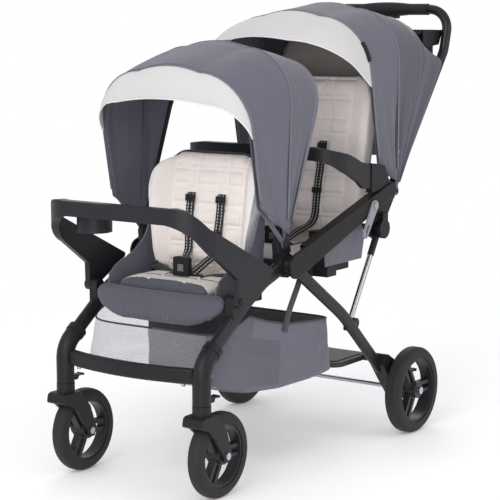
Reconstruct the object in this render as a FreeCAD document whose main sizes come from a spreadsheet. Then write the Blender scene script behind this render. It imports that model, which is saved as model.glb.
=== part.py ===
import FreeCAD, Part
import Sketcher
import math
import os
from FreeCAD import Placement, Rotation, Vector

# Tandem stroller with a front seat, a rear seat and a standing platform.
# X points to the near side, Y to the back and Z up. All lengths are in millimetres, angles in degrees.
# Heights are above the floor and distances back are from the caster axes, which lie at caster_y.

# Sizes of the object in groups, each with its name and value
SIZES = {
    # Whole frame
    "caster_y": -532.0, "running_gap": 0.05, "cut_overrun": 1.0, "fit_gap": 0.1, "layer_gap": 0.4,
    "frame_half_width": 196.0, "pin_radius": 5.0, "cap_radius": 9.0, "cap_height": 2.5,
    # Front wheels and casters
    "front_wheel_back": 58.0, "front_wheel_radius": 97.0, "front_wheel_width": 34.0,
    "front_rim_radius": 72.0, "rim_ring_wall": 6.0, "tyre_shoulder": 13.0, "wheel_hub_radius": 20.0,
    "rib_width": 9.0, "rib_spread": 10.0, "rib_depth": 18.0, "wheel_hub_length": 36.0,
    "fork_half_width": 27.0, "fork_well_half_width": 19.5, "fork_well_gap": 5.0,
    "fork_eye_radius": 14.0, "fork_top": 198.0, "crown_radius": 21.0, "crown_top": 219.6,
    "stem_radius": 8.0, "stem_rise": 38.0, "axle_head_radius": 8.0, "axle_head_length": 3.0,
    # Swivel locks
    "lock_back": 26.5, "lock_height": 229.0, "lock_length": 26.0, "lock_thickness": 6.0,
    "lock_width": 18.0, "lock_pin_radius": 2.5,
    # Front legs and crossbar
    "elbow_foot": 220.4, "elbow_bend_height": 306.0, "elbow_radius": 20.5, "elbow_bend": 60.0,
    "elbow_bore_rise": 40.0, "collar_back": 46.0, "collar_height": 338.0, "collar_length": 16.0,
    "collar_radius": 22.5, "leg_tall": 36.0, "leg_wide": 22.0, "leg_middle_back": 150.0,
    "leg_middle_height": 414.0, "leg_shoulder_ahead": 83.0, "leg_shoulder_fall": 26.0,
    "leg_bend": 150.0, "crossbar_back": 2.0, "crossbar_height": 281.0, "crossbar_tall": 35.0,
    "crossbar_deep": 20.0, "crossbar_bow": 26.0, "crossbar_end": 175.4, "screw_radius": 4.5,
    "screw_drop": 6.0, "screw_spread": 150.0,
    # Hubs and side rails
    "hub_back": 315.0, "hub_height": 486.0, "hub_block_radius": 28.0, "hub_inner": 184.0,
    "hub_outer": 208.5, "hub_pad_rise": 28.6, "hub_pad_half": 26.0, "rail_inner": 207.0,
    "rail_outer": 231.0, "rail_joint_behind": 427.0, "rail_joint_rise": 137.0, "rail_eye_radius": 18.0,
    "rail_reach": 62.0, "skin_inner": 229.6, "skin_outer": 236.0, "skin_boss_radius": 29.0,
    "rail_tall": 46.0,
    # Rear legs, brackets, axle and platform
    "rear_wheel_back": 793.0, "rear_wheel_radius": 109.0, "rear_wheel_width": 40.0,
    "rear_rim_radius": 82.0, "rear_wheel_side": 266.0, "rear_axle_radius": 6.0, "rear_hub_length": 40.0,
    "rear_axle_end": 291.0, "rear_leg_inner": 209.4, "rear_leg_wide": 19.6, "rear_leg_tall": 30.0,
    "rear_eye_radius": 22.0, "rear_leg_start_behind": 37.0, "rear_leg_start_fall": 22.0,
    "rear_leg_middle": 535.0, "rear_leg_middle_height": 338.0, "rear_leg_bend": 420.0,
    "rear_foot_ahead": 81.0, "rear_foot_rise": 65.0, "bracket_inner": 205.0, "bracket_outer": 243.0,
    "bracket_eye_radius": 24.0, "strut_lug_back": 600.0, "strut_lug_height": 306.0,
    "strut_lug_radius": 13.0, "strut_lug_inner": 188.4, "strut_lug_wall": 3.0,
    "platform_half_width": 183.0, "platform_front_ahead": 223.0, "platform_depth": 155.0,
    "platform_top": 207.0, "platform_thickness": 14.0, "platform_corner": 30.0,
    "platform_arm_height": 34.0, "platform_tread": 2.0, "brake_behind": 13.0, "brake_rise": 31.0,
    "brake_length": 56.0, "brake_thickness": 8.0, "brake_inner": 209.0, "brake_width": 30.0,
    "brake_eye_radius": 7.0,
    # Handle
    "crank_inner": 181.0, "crank_outer": 203.0, "crank_low_ahead": 7.0, "crank_low_fall": 100.0,
    "clevis_radius": 24.0, "clevis_inner": 175.0, "clevis_gap_low": 189.0, "clevis_gap_high": 208.2,
    "clevis_outer": 218.0, "clevis_slack": 10.5, "handle_side": 192.0, "handle_radius": 12.5,
    "handle_wall": 1.5, "handle_start_behind": 52.0, "handle_start_fall": 24.5,
    "handle_knee_behind": 278.0, "handle_knee_rise": 355.8, "handle_top_behind": 31.0,
    "handle_top_rise": 107.7, "handle_bend": 60.0, "handle_plug": 40.0, "grip_radius": 15.0,
    "grip_half_length": 128.0, "grip_bulge": 19.0, "grip_bulge_half": 44.0, "trigger_half_width": 25.0,
    "trigger_depth": 16.0, "trigger_height": 16.0, "trigger_drop": 10.0, "trigger_stem": 6.0,
    "tray_half_width": 179.4, "tray_front_ahead": 213.0, "tray_back_ahead": 15.0,
    "tray_floor_fall": 62.0, "tray_thickness": 5.0, "tray_rim_rise": 9.0, "tray_corner": 26.0,
    "cup_side": 132.0, "cup_ahead": 56.0, "cup_radius": 41.0, "cup_depth": 58.0, "cup_wall": 3.0,
    "tray_cheek_fall": 34.0,
    # Struts
    "strut_radius": 7.0, "strut_wall": 1.2, "sleeve_radius": 8.4, "sleeve_length": 74.0,
    "strut_side": 199.0, "strut_eye_radius": 10.0, "strut_window": 9.0, "strut_eye_width": 11.0,
    # Storage latch
    "latch_ahead": 92.0, "latch_fall": 31.0, "latch_inner": 236.4, "latch_thickness": 5.0,
    "latch_radius": 13.0, "latch_tip_ahead": 44.0, "latch_tip_fall": 66.0, "latch_slot_width": 9.0,
    "latch_slot_length": 22.0,
    # Front tray
    "front_tray_back": 115.0, "front_tray_height": 432.0, "front_tray_inner": 208.0,
    "front_tray_outer": 222.0, "front_tray_lug_radius": 14.0, "front_band_ahead": 173.0,
    "front_band_rise": 184.0, "front_band_tall": 34.0, "front_band_deep": 24.0,
    "front_band_corner": 80.0, "front_plate_thickness": 5.0, "front_plate_depth": 100.0,
    "front_cup_side": -112.0, "front_cup_behind": 72.0, "front_cup_radius": 37.0,
    "front_cup_depth": 46.0,
    # Rear tray
    "rear_tray_inner": 217.0, "rear_tray_outer": 228.0, "rear_band_ahead": 186.0,
    "rear_band_rise": 48.0, "rear_band_tall": 30.0, "rear_band_deep": 24.0, "rear_band_corner": 60.0,
    "rear_tray_seam_ahead": 19.0, "socket_fall": 42.0, "socket_span": 84.0, "socket_rise": 72.0,
    "rear_tray_pivot_ahead": 74.0, "rear_tray_pivot_rise": 41.0, "socket_outer": 230.8,
    "rear_tray_eye_radius": 12.0,
    # Front seat
    "seat_half_width": 152.0, "seat_front": 104.0, "seat_depth": 172.0, "seat_floor": 404.0,
    "seat_pan_height": 26.0, "seat_pad_height": 18.0, "pad_crown": 7.0, "seat_bracket_height": 20.0,
    "seat_bracket_length": 40.0, "pan_corner": 16.0, "calf_top_behind": 14.0, "calf_top_rise": 32.0,
    "calf_low_ahead": 30.0, "calf_low_fall": 70.0, "calf_thickness": 24.0, "calf_half_width": 166.0,
    "back_foot_behind": 176.0, "back_foot_rise": 48.0, "back_lean_angle": 81.3, "back_length": 290.0,
    "back_half_width": 148.0, "back_thickness": 30.0, "front_wing_depth": 50.0, "wing_depth": 34.0,
    "wing_wall": 14.0,
    "quilt_groove": 5.0, "quilt_groove_half": 9.0, "quilt_band_half": 62.0, "recline_pin_radius": 6.0,
    "recline_boss_radius": 12.0,
    # Rear seat
    "rear_seat_front": 470.0, "rear_seat_depth": 182.0, "rear_seat_floor": 434.0,
    "rear_seat_half_width": 170.0, "rear_back_foot_behind": 230.0, "rear_back_foot_rise": 66.0,
    "rear_back_lean_angle": 79.0, "rear_back_length": 400.0, "rear_back_half_width": 168.0,
    # Harness
    "strap_width": 22.0, "strap_thickness": 2.0, "strap_spread": 44.0, "strap_top_share": 0.84,
    "buckle_width": 44.0, "buckle_height": 50.0, "buckle_depth": 14.0, "button_size": 16.0,
    "button_height": 4.0, "button_window": 0.3,
    # Canopies
    "canopy_half_width": 212.0, "cloth_thickness": 2.4, "canopy_foot_start": 26.0,
    "canopy_corner": 130.0, "canopy_crown": 14.0, "bow_width": 12.0, "bow_thickness": 2.4,
    "bow_eye_radius": 10.0, "bow_pin_radius": 4.0, "mount_width": 14.0, "front_hood_ahead": 10.0,
    "front_hood_rise": 51.0, "front_hood_reach": 457.0, "front_hood_rear_angle": 68.6,
    "front_hood_middle_angle": 87.0, "front_bow_knee_ahead": 100.0, "front_bow_knee_rise": 95.0,
    "front_bow_top_ahead": 55.0, "front_bow_top_rise": 312.0, "rear_hood_behind": 62.0,
    "rear_hood_fall": 12.0, "rear_hood_reach": 468.0, "rear_hood_rear_angle": 68.6,
    "rear_hood_edge_angle": 54.5, "rear_hood_edge_reach": 405.0, "rear_hood_middle_angle": 90.0,
    "rear_bow_knee_ahead": 80.0, "rear_bow_knee_rise": 59.0, "rear_bow_top_ahead": 76.0,
    "rear_bow_top_rise": 392.0, "rear_hood_half_width": 213.0, "front_visor_end_behind": 16.0,
    "front_visor_end_fall": 158.0, "front_visor_lip_ahead": 38.0, "front_visor_lip_fall": 72.0,
    "rear_visor_end_behind": 24.0, "rear_visor_end_fall": 186.0, "rear_visor_lip_ahead": 156.0,
    "rear_visor_lip_fall": 60.0,
    # Basket
    "basket_half_width": 198.0, "basket_wall": 2.4, "basket_front": 34.0, "basket_span": 532.0,
    "basket_low": 195.0, "basket_rise": 193.0, "basket_lip_half": 164.0, "hanger_width": 22.0,
    "hanger_top_back": 408.0, "hanger_top_height": 506.0, "hanger_side": 203.0,
}

# Outline of the fork seen from the side, as shares of the wheel radius from the stem axis and fork top
FORK_OUTLINE_SHARES = (
    (-0.37, -0.23), (-0.33, -0.04), (-0.24, 0.0), (0.24, 0.0), (0.56, -0.42), (0.76, -0.96),
    (0.70, -1.20), (0.50, -1.16), (0.42, -0.98), (0.16, -0.55), (-0.12, -0.32),
)
# Outline of a rear foot bracket, as shares of the bracket eye radius from the axle
BRACKET_OUTLINE_SHARES = (
    (-4.3, 3.2), (-3.5, 4.35), (-2.2, 3.6), (0.1, 1.75), (0.9, 0.75), (0.9, -0.7), (0.2, -1.15),
    (-0.8, -0.9), (-2.4, 0.9),
)
# Outline of the front tray arm, as shares from its pivot towards the band
FRONT_ARM_SHARES = (
    (0.674, 0.315), (0.641, 0.266), (0.033, -0.06), (-0.054, -0.022), (-0.06, 0.277),
)
# The front tray's bent corner, station by station: share of the quarter turn, then the
# heights of its lower and upper edges as shares of the rise from the pivot
FRONT_CORNER_SHARES = (
    (0.0, 1.0, 1.185), (0.25, 0.957, 1.19), (0.5, 0.859, 1.136), (0.75, 0.717, 1.005), (1.0, 0.603, 0.902),
)
# The rear tray's bent corner in the same way, its heights as shares of the rise above the socket
REAR_CORNER_SHARES = (
    (0.0, 0.742, 1.0), (0.25, 0.708, 0.975), (0.5, 0.642, 0.95), (0.75, 0.55, 0.908), (1.0, 0.467, 0.867),
)
# Outline of the rear tray arm behind its corner, as shares of the reach to the seam and of the rise
REAR_ARM_SHARES = (
    (0.28, 0.783), (0.58, 0.667), (0.98, 0.583), (0.98, 0.1), (0.69, 0.117), (0.43, 0.283),
)
# Outline of the rear tray socket, as shares of its span and rise
SOCKET_SHARES = (
    (0.0, 0.0), (0.0, 0.96), (0.14, 1.0), (0.74, 0.88), (1.0, 0.30), (1.0, 0.12),
)
# Outline of the parent tray from above, as shares of its half width and its depth,
# and the way its walls stand in
PARENT_TRAY_SHARES = (
    (-0.82, 0.0), (0.82, 0.0), (0.84, 0.38), (1.0, 0.52), (1.0, 1.0), (-1.0, 1.0), (-1.0, 0.52),
    (-0.84, 0.38),
)
PARENT_TRAY_WALL_SIDES = (
    (-1, 1), (1, 1), (1, 0), (1, 0), (1, -1), (-1, -1), (-1, 0), (-1, 0),
)
# Outline of the basket seen from the side, as shares of its span and rise
BASKET_SIDE_SHARES = (
    (0.0, 0.28), (0.085, 0.64), (0.21, 0.93), (0.265, 1.0), (0.53, 0.79), (0.94, 0.69), (1.0, 0.03),
    (0.65, 0.0), (0.33, 0.045),
)
# Outline of the canopy mount, as shares of the hub block radius from the canopy pivot
MOUNT_SHARES = (
    (-0.85, -1.0), (-0.95, 0.25), (-0.55, 0.85), (0.25, 0.85), (0.85, 0.30), (1.15, -1.0),
)
# Outline of a crank casting, as shares of its drop from the upper pivot
CRANK_SHARES = (
    (-0.24, 0.06), (-0.14, 0.22), (0.06, 0.25), (0.34, 0.02), (0.74, -0.11), (0.55, -0.375), (0.18, -0.84),
    (0.12, -1.16), (-0.10, -1.28), (-0.30, -1.16), (-0.32, -0.92), (-0.20, -0.5),
)
# Outline of the side cloth beside the front seat, as shares of the seat depth and the back length
FRONT_SIDE_SHARES = (
    (0.10, 0.0), (0.08, 0.14), (0.30, 0.36), (0.62, 0.52), (0.86, 0.62), (0.98, 0.42), (0.94, 0.0),
)
# Outline of the side cloth beside the rear seat, as shares of the seat depth and the back length
REAR_SIDE_SHARES = (
    (0.02, 0.0), (0.02, 0.22), (0.10, 0.46), (0.34, 0.56), (0.80, 0.52), (0.98, 0.30), (0.92, 0.0),
)
# Shares of the height of a backrest at which its sections lie, with their width and thickness
BACK_SECTION_SHARES = ((0.0, 0.985, 0.75), (0.12, 1.0, 1.0), (0.6, 1.0, 1.0), (0.9, 0.9, 0.95),
                       (1.0, 0.74, 0.7))

half_share = 0.5
rib_start_angle = 30.0
full_turn = 360.0
quarter_turn = 90.0
spoke_groups = 3


class Size:
    # A value together with the expression that gives it from the named sizes
    def __init__(self, value, text):
        self.value = float(value)
        self.text = text

    def __add__(self, other):
        other = sized(other)
        return Size(self.value + other.value, "(%s + %s)" % (self.text, other.text))

    def __radd__(self, other):
        return sized(other) + self

    def __sub__(self, other):
        other = sized(other)
        return Size(self.value - other.value, "(%s - %s)" % (self.text, other.text))

    def __rsub__(self, other):
        return sized(other) - self

    def __mul__(self, other):
        other = sized(other)
        return Size(self.value * other.value, "(%s * %s)" % (self.text, other.text))

    def __rmul__(self, other):
        return sized(other) * self

    def __truediv__(self, other):
        other = sized(other)
        return Size(self.value / other.value, "(%s / %s)" % (self.text, other.text))

    def __neg__(self):
        return Size(-self.value, "(0 - %s)" % self.text)


def sized(number):
    if isinstance(number, Size):
        return number
    return Size(number, "(%r)" % float(number))


doc = FreeCAD.newDocument("stroller")
sheet = doc.addObject("Spreadsheet::Sheet", "sizes")
size = {}


def write_sizes():
    for row, (name, value) in enumerate(SIZES.items(), start=1):
        sheet.set("A%d" % row, name)
        sheet.set("B%d" % row, repr(value))
        sheet.setAlias("B%d" % row, name)
        size[name] = Size(value, "sizes." + name)
    doc.recompute()


write_sizes()
zero = sized(0)

# Places worked out from the sizes: each follows the piece that carries it
size["leg_shoulder_height"] = size["hub_height"] - size["leg_shoulder_fall"]
size["leg_shoulder_back"] = size["hub_back"] - size["leg_shoulder_ahead"]
size["hub_pad_top"] = size["hub_height"] + size["hub_pad_rise"]
size["rail_joint_height"] = size["hub_height"] + size["rail_joint_rise"]
size["rail_joint_back"] = size["hub_back"] + size["rail_joint_behind"]
size["crank_low_height"] = size["rail_joint_height"] - size["crank_low_fall"]
size["crank_low_back"] = size["rail_joint_back"] - size["crank_low_ahead"]
size["handle_start_height"] = size["rail_joint_height"] - size["handle_start_fall"]
size["handle_start_back"] = size["rail_joint_back"] + size["handle_start_behind"]
size["handle_knee_height"] = size["handle_start_height"] + size["handle_knee_rise"]
size["handle_knee_back"] = size["handle_start_back"] + size["handle_knee_behind"]
size["handle_top_height"] = size["handle_knee_height"] + size["handle_top_rise"]
size["handle_top_back"] = size["handle_knee_back"] + size["handle_top_behind"]
size["tray_floor"] = size["handle_top_height"] - size["tray_floor_fall"]
size["tray_front"] = size["handle_top_back"] - size["tray_front_ahead"]
size["tray_back"] = size["handle_top_back"] - size["tray_back_ahead"]
size["cup_back"] = size["tray_back"] - size["cup_ahead"]
size["tray_cheek_low"] = size["tray_floor"] - size["tray_cheek_fall"]
size["latch_height"] = size["rail_joint_height"] - size["latch_fall"]
size["latch_back"] = size["rail_joint_back"] - size["latch_ahead"]
size["latch_tip_height"] = size["latch_height"] - size["latch_tip_fall"]
size["latch_tip_back"] = size["latch_back"] - size["latch_tip_ahead"]
size["front_band_low"] = size["front_tray_height"] + size["front_band_rise"]
size["front_band_front"] = size["front_tray_back"] - size["front_band_ahead"]
size["front_plate_floor"] = size["front_band_low"]
size["front_cup_back"] = size["front_band_front"] + size["front_cup_behind"]
size["rear_tray_pivot_height"] = size["rail_joint_height"] + size["rear_tray_pivot_rise"]
size["rear_tray_pivot_back"] = size["rail_joint_back"] - size["rear_tray_pivot_ahead"]
size["rear_tray_seam"] = size["rear_tray_pivot_back"] - size["rear_tray_seam_ahead"]
size["socket_low"] = size["rear_tray_pivot_height"] - size["socket_fall"]
size["rear_band_low"] = size["rear_tray_pivot_height"] + size["rear_band_rise"]
size["rear_band_front"] = size["rear_tray_pivot_back"] - size["rear_band_ahead"]
size["calf_top_height"] = size["seat_floor"] + size["calf_top_rise"]
size["calf_top_back"] = size["seat_front"] + size["calf_top_behind"]
size["calf_low_height"] = size["calf_top_height"] - size["calf_low_fall"]
size["calf_low_back"] = size["calf_top_back"] - size["calf_low_ahead"]
size["back_foot_height"] = size["seat_floor"] + size["back_foot_rise"]
size["back_foot_back"] = size["seat_front"] + size["back_foot_behind"]
size["rear_back_foot_height"] = size["rear_seat_floor"] + size["rear_back_foot_rise"]
size["rear_back_foot_back"] = size["rear_seat_front"] + size["rear_back_foot_behind"]
size["front_hood_height"] = size["hub_height"] + size["front_hood_rise"]
size["front_hood_back"] = size["hub_back"] - size["front_hood_ahead"]
size["front_bow_knee_height"] = size["front_hood_height"] + size["front_bow_knee_rise"]
size["front_bow_knee_back"] = size["front_hood_back"] - size["front_bow_knee_ahead"]
size["front_bow_top_height"] = size["front_bow_knee_height"] + size["front_bow_top_rise"]
size["front_bow_top_back"] = size["front_bow_knee_back"] - size["front_bow_top_ahead"]
size["front_visor_end_height"] = size["front_bow_top_height"] - size["front_visor_end_fall"]
size["front_visor_end_back"] = size["front_bow_top_back"] + size["front_visor_end_behind"]
size["front_visor_lip_height"] = size["front_bow_top_height"] - size["front_visor_lip_fall"]
size["front_visor_lip_back"] = size["front_bow_top_back"] - size["front_visor_lip_ahead"]
size["rear_hood_height"] = size["rail_joint_height"] - size["rear_hood_fall"]
size["rear_hood_back"] = size["rail_joint_back"] + size["rear_hood_behind"]
size["rear_bow_knee_height"] = size["rear_hood_height"] + size["rear_bow_knee_rise"]
size["rear_bow_knee_back"] = size["rear_hood_back"] - size["rear_bow_knee_ahead"]
size["rear_bow_top_height"] = size["rear_bow_knee_height"] + size["rear_bow_top_rise"]
size["rear_bow_top_back"] = size["rear_bow_knee_back"] - size["rear_bow_top_ahead"]
size["rear_visor_end_height"] = size["rear_bow_top_height"] - size["rear_visor_end_fall"]
size["rear_visor_end_back"] = size["rear_bow_top_back"] + size["rear_visor_end_behind"]
size["rear_visor_lip_height"] = size["rear_bow_top_height"] - size["rear_visor_lip_fall"]
size["rear_visor_lip_back"] = size["rear_bow_top_back"] - size["rear_visor_lip_ahead"]
size["brake_back"] = size["rear_wheel_back"] + size["brake_behind"]
size["brake_height"] = size["rear_wheel_radius"] + size["brake_rise"]
size["rear_foot_back"] = size["rear_wheel_back"] - size["rear_foot_ahead"]
size["rear_foot_height"] = size["rear_wheel_radius"] + size["rear_foot_rise"]
size["platform_front"] = size["rear_wheel_back"] - size["platform_front_ahead"]
size["rear_leg_start"] = size["hub_back"] + size["rear_leg_start_behind"]
size["rear_leg_start_height"] = size["hub_height"] - size["rear_leg_start_fall"]


def back(distance):
    return size["caster_y"] + distance


# Building blocks
def plane_of(body, role):
    for feature in body.Origin.OriginFeatures:
        if feature.Role == role:
            return feature
    raise ValueError("no such plane: " + role)


def place(thing, at, turn=None):
    axis, angle = turn if turn else (Vector(0, 0, 1), zero)
    thing.Placement = Placement(Vector(at[0].value, at[1].value, at[2].value), Rotation(axis, angle.value))
    for letter, distance in zip("xyz", at):
        thing.setExpression("Placement.Base." + letter, distance.text)
    if turn:
        thing.setExpression("Placement.Rotation.Angle", angle.text)
    return thing


def outline_sketch(body, name, role, outlines):
    sketch = body.newObject("Sketcher::SketchObject", name)
    sketch.AttachmentSupport = [(plane_of(body, role), "")]
    sketch.MapMode = "FlatFace"
    for points in outlines:
        first = sketch.GeometryCount
        count = len(points)
        for i in range(count):
            a = points[i]
            b = points[(i + 1) % count]
            line = Part.LineSegment(Vector(a[0].value, a[1].value, 0), Vector(b[0].value, b[1].value, 0))
            sketch.addGeometry(line, False)
        for i in range(count):
            sketch.addConstraint(Sketcher.Constraint("Coincident", first + i, 2, first + (i + 1) % count,
                                                     1))
        for i, point in enumerate(points):
            for kind, distance in (("DistanceX", point[0]), ("DistanceY", point[1])):
                k = sketch.addConstraint(Sketcher.Constraint(kind, -1, 1, first + i, 1, distance.value))
                sketch.setExpression("Constraints[%d]" % k, distance.text)
    return sketch


def round_edges(body, name, feature, radius, direction, chosen=None):
    doc.recompute()
    edges = []
    for i, edge in enumerate(feature.Shape.Edges):
        if edge.Curve.TypeId != "Part::GeomLine":
            continue
        if abs(abs(edge.tangentAt(edge.FirstParameter).dot(direction)) - 1) > 1e-6:
            continue
        if chosen is None or any(edge.distToShape(Part.Vertex(spot))[0] < 1e-3 for spot in chosen):
            edges.append("Edge%d" % (i + 1))
    fillet = body.newObject("PartDesign::Fillet", name + "_round")
    fillet.Base = (feature, edges)
    fillet.Radius = radius.value
    fillet.setExpression("Radius", radius.text)
    return fillet


def prism(name, role, points, depth, at, rounding=None, chosen=None, holes=()):
    body = doc.addObject("PartDesign::Body", name)
    sketch = outline_sketch(body, name + "_outline", role, [points] + list(holes))
    pad = body.newObject("PartDesign::Pad", name + "_pad")
    pad.Profile = sketch
    pad.Length = depth.value
    pad.setExpression("Length", depth.text)
    direction = {"YZ_Plane": Vector(1, 0, 0), "XY_Plane": Vector(0, 0, 1),
                 "XZ_Plane": Vector(0, 1, 0)}[role]
    if rounding is not None:
        spots = None
        if chosen is not None:
            spots = []
            for i in chosen:
                u, v = points[i][0].value, points[i][1].value
                spot = {"YZ_Plane": Vector(0, u, v), "XY_Plane": Vector(u, v, 0),
                        "XZ_Plane": Vector(u, 0, v)}[role]
                spots.append(spot)
        round_edges(body, name, pad, rounding, direction, spots)
    place(body, at)
    return body


def turned(name, points, at, rounding=None, at_radius=None):
    body = doc.addObject("PartDesign::Body", name)
    sketch = outline_sketch(body, name + "_outline", "XY_Plane", [points])
    turn = body.newObject("PartDesign::Revolution", name + "_turn")
    turn.Profile = sketch
    turn.ReferenceAxis = (plane_of(body, "X_Axis"), [""])
    turn.Angle = full_turn
    if rounding is not None:
        doc.recompute()
        edges = []
        for i, edge in enumerate(turn.Shape.Edges):
            if edge.Curve.TypeId == "Part::GeomCircle" and abs(edge.Curve.Radius - at_radius.value) < 1e-6:
                edges.append("Edge%d" % (i + 1))
        fillet = body.newObject("PartDesign::Fillet", name + "_round")
        fillet.Base = (turn, edges)
        fillet.Radius = rounding.value
        fillet.setExpression("Radius", rounding.text)
    place(body, at)
    return body


def rod(name, radius, length, at, axis="x"):
    thing = doc.addObject("Part::Cylinder", name)
    thing.Radius = radius.value
    thing.Height = length.value
    thing.setExpression("Radius", radius.text)
    thing.setExpression("Height", length.text)
    turn = {"x": (Vector(0, 1, 0), sized(quarter_turn)), "y": (Vector(1, 0, 0), sized(-quarter_turn)),
            "z": None}[axis]
    return place(thing, at, turn)


def box(name, extent, at):
    thing = doc.addObject("Part::Box", name)
    for prop, length in zip(("Length", "Width", "Height"), extent):
        setattr(thing, prop, length.value)
        thing.setExpression(prop, length.text)
    return place(thing, at)


def fuse(name, parts):
    thing = doc.addObject("Part::MultiFuse", name)
    thing.Shapes = parts
    return thing


def cut(name, base, tool):
    thing = doc.addObject("Part::Cut", name)
    thing.Base = base
    thing.Tool = tool
    return thing


def pair(name, near):
    far = doc.addObject("Part::Mirroring", name + "_far_side")
    far.Source = near
    far.Normal = Vector(1, 0, 0)
    far.Base = Vector(0, 0, 0)
    both = doc.addObject("Part::Compound", name)
    both.Links = [near, far]
    return both


def mirrored(name, near):
    far = doc.addObject("Part::Mirroring", name)
    far.Source = near
    far.Normal = Vector(1, 0, 0)
    far.Base = Vector(0, 0, 0)
    return far


def solid(name, shape):
    thing = doc.addObject("Part::Feature", name)
    thing.Shape = shape
    return thing


def bent_path(points, bend):
    # Straight runs joined by arcs of one bend radius
    edges = []
    start = points[0]
    for i in range(1, len(points) - 1):
        corner = points[i]
        u = (points[i - 1] - corner).normalize()
        v = (points[i + 1] - corner).normalize()
        angle = math.acos(max(-1.0, min(1.0, u.dot(v))))
        reach = bend / math.tan(angle / 2)
        middle = (u + v).normalize()
        centre = corner + middle * (bend / math.sin(angle / 2))
        first = corner + u * reach
        last = corner + v * reach
        edges.append(Part.makeLine(start, first))
        edges.append(Part.Arc(first, centre - middle * bend, last).toShape())
        start = last
    edges.append(Part.makeLine(start, points[-1]))
    return Part.Wire(edges)


def round_profile(start, direction, radius):
    return Part.Wire(Part.Circle(start, direction, radius).toShape())


def oval_profile(start, direction, tall, wide):
    # A slot shape with its wide side along X and its tall side across the path
    across = Vector(1, 0, 0)
    up = across.cross(direction).normalize()
    r = wide / 2
    h = tall / 2 - r
    a = start + up * h - across * r
    b = start + up * h + across * r
    c = start - up * h + across * r
    d = start - up * h - across * r
    edges = [
        Part.Arc(a, start + up * (h + r), b).toShape(), Part.makeLine(b, c),
        Part.Arc(c, start - up * (h + r), d).toShape(), Part.makeLine(d, a),
    ]
    return Part.Wire(edges)


def swept(path, profile):
    return path.makePipeShell([profile], True, True)


def round_tube(points, bend, radius, wall=None):
    path = bent_path(points, bend)
    direction = (points[1] - points[0]).normalize()
    outer = swept(path, round_profile(points[0], direction, radius))
    if wall is None:
        return outer
    inner = swept(path, round_profile(points[0], direction, radius - wall))
    return outer.cut(inner)


def oval_tube(points, bend, tall, wide, wall=None):
    path = bent_path(points, bend)
    direction = (points[1] - points[0]).normalize()
    outer = swept(path, oval_profile(points[0], direction, tall, wide))
    if wall is None:
        return outer
    inner = swept(path, oval_profile(points[0], direction, tall - 2 * wall, wide - 2 * wall))
    return outer.cut(inner)


def along(a, b, distance):
    return a + (b - a).normalize() * distance


# Register of the separate pieces
NODES = {}


def node(name, label, thing):
    thing.Label = label
    NODES[name] = thing
    return thing


def shares_outline(table, origin, spans):
    return [(origin[0] + spans[0] * u, origin[1] + spans[1] * v) for u, v in table]


# Wheels with tyres, rims and twin ribs
def make_wheel(name, label, side, wheel_back, radius, width, rim_radius, hub_length, bore):
    low = side - width * half_share
    gap = size["fit_gap"]
    tyre_points = [(zero, rim_radius + gap), (width, rim_radius + gap), (width, radius), (zero, radius)]
    centre = (low, back(wheel_back), radius)
    tyre = turned(name + "_tyre_body", tyre_points, centre, size["tyre_shoulder"], radius)
    node(name + "_tyre", label + " tyre", tyre)
    ring_low = low + width * 0.08
    ring_width = width * 0.84
    ring_points = [
        (zero, rim_radius - size["rim_ring_wall"]), (ring_width, rim_radius - size["rim_ring_wall"]),
        (ring_width, rim_radius), (zero, rim_radius),
    ]
    ring = turned(name + "_ring", ring_points, (ring_low, back(wheel_back), radius))
    hub = rod(name + "_hub", size["wheel_hub_radius"], hub_length,
              (side - hub_length * half_share, back(wheel_back), radius))
    ribs = []
    rib_low = size["wheel_hub_radius"] * 0.6
    rib_high = rim_radius - size["rim_ring_wall"] * half_share
    for k in range(spoke_groups):
        rib_body = doc.addObject("PartDesign::Body", "%s_ribs%s" % (name, "abc"[k]))
        outlines = []
        for sign in (-1, 1):
            inner = size["rib_spread"] * sign - size["rib_width"] * half_share
            outer = size["rib_spread"] * sign + size["rib_width"] * half_share
            outlines.append([(inner, rib_low), (outer, rib_low), (outer, rib_high), (inner, rib_high)])
        sketch = outline_sketch(rib_body, rib_body.Name + "_outline", "YZ_Plane", outlines[:1])
        pad = rib_body.newObject("PartDesign::Pad", rib_body.Name + "_pad")
        pad.Profile = sketch
        pad.setExpression("Length", size["rib_depth"].text)
        sketch_two = outline_sketch(rib_body, rib_body.Name + "_other", "YZ_Plane", outlines[1:])
        web_points = [[
            (-(size["rib_spread"]), rib_low), (size["rib_spread"], rib_low),
            (size["rib_spread"], size["wheel_hub_radius"] * 1.15),
            (-(size["rib_spread"]), size["wheel_hub_radius"] * 1.15),
        ]]
        sketch_web = outline_sketch(rib_body, rib_body.Name + "_web", "YZ_Plane", web_points)
        for suffix, profile in (("_web_pad", sketch_web), ("_other_pad", sketch_two)):
            more = rib_body.newObject("PartDesign::Pad", rib_body.Name + suffix)
            more.Profile = profile
            more.setExpression("Length", size["rib_depth"].text)
        turn = sized(full_turn * k / spoke_groups + rib_start_angle)
        at = (side - size["rib_depth"] * half_share, back(wheel_back), radius)
        place(rib_body, at, (Vector(1, 0, 0), turn))
        ribs.append(rib_body)
    whole = fuse(name + "_rim_whole", [ring, hub] + ribs)
    hole = rod(name + "_bore", bore, hub_length, (side - hub_length * half_share, back(wheel_back), radius))
    node(name + "_rim", label + " rim", cut(name + "_rim_body", whole, hole))


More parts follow.
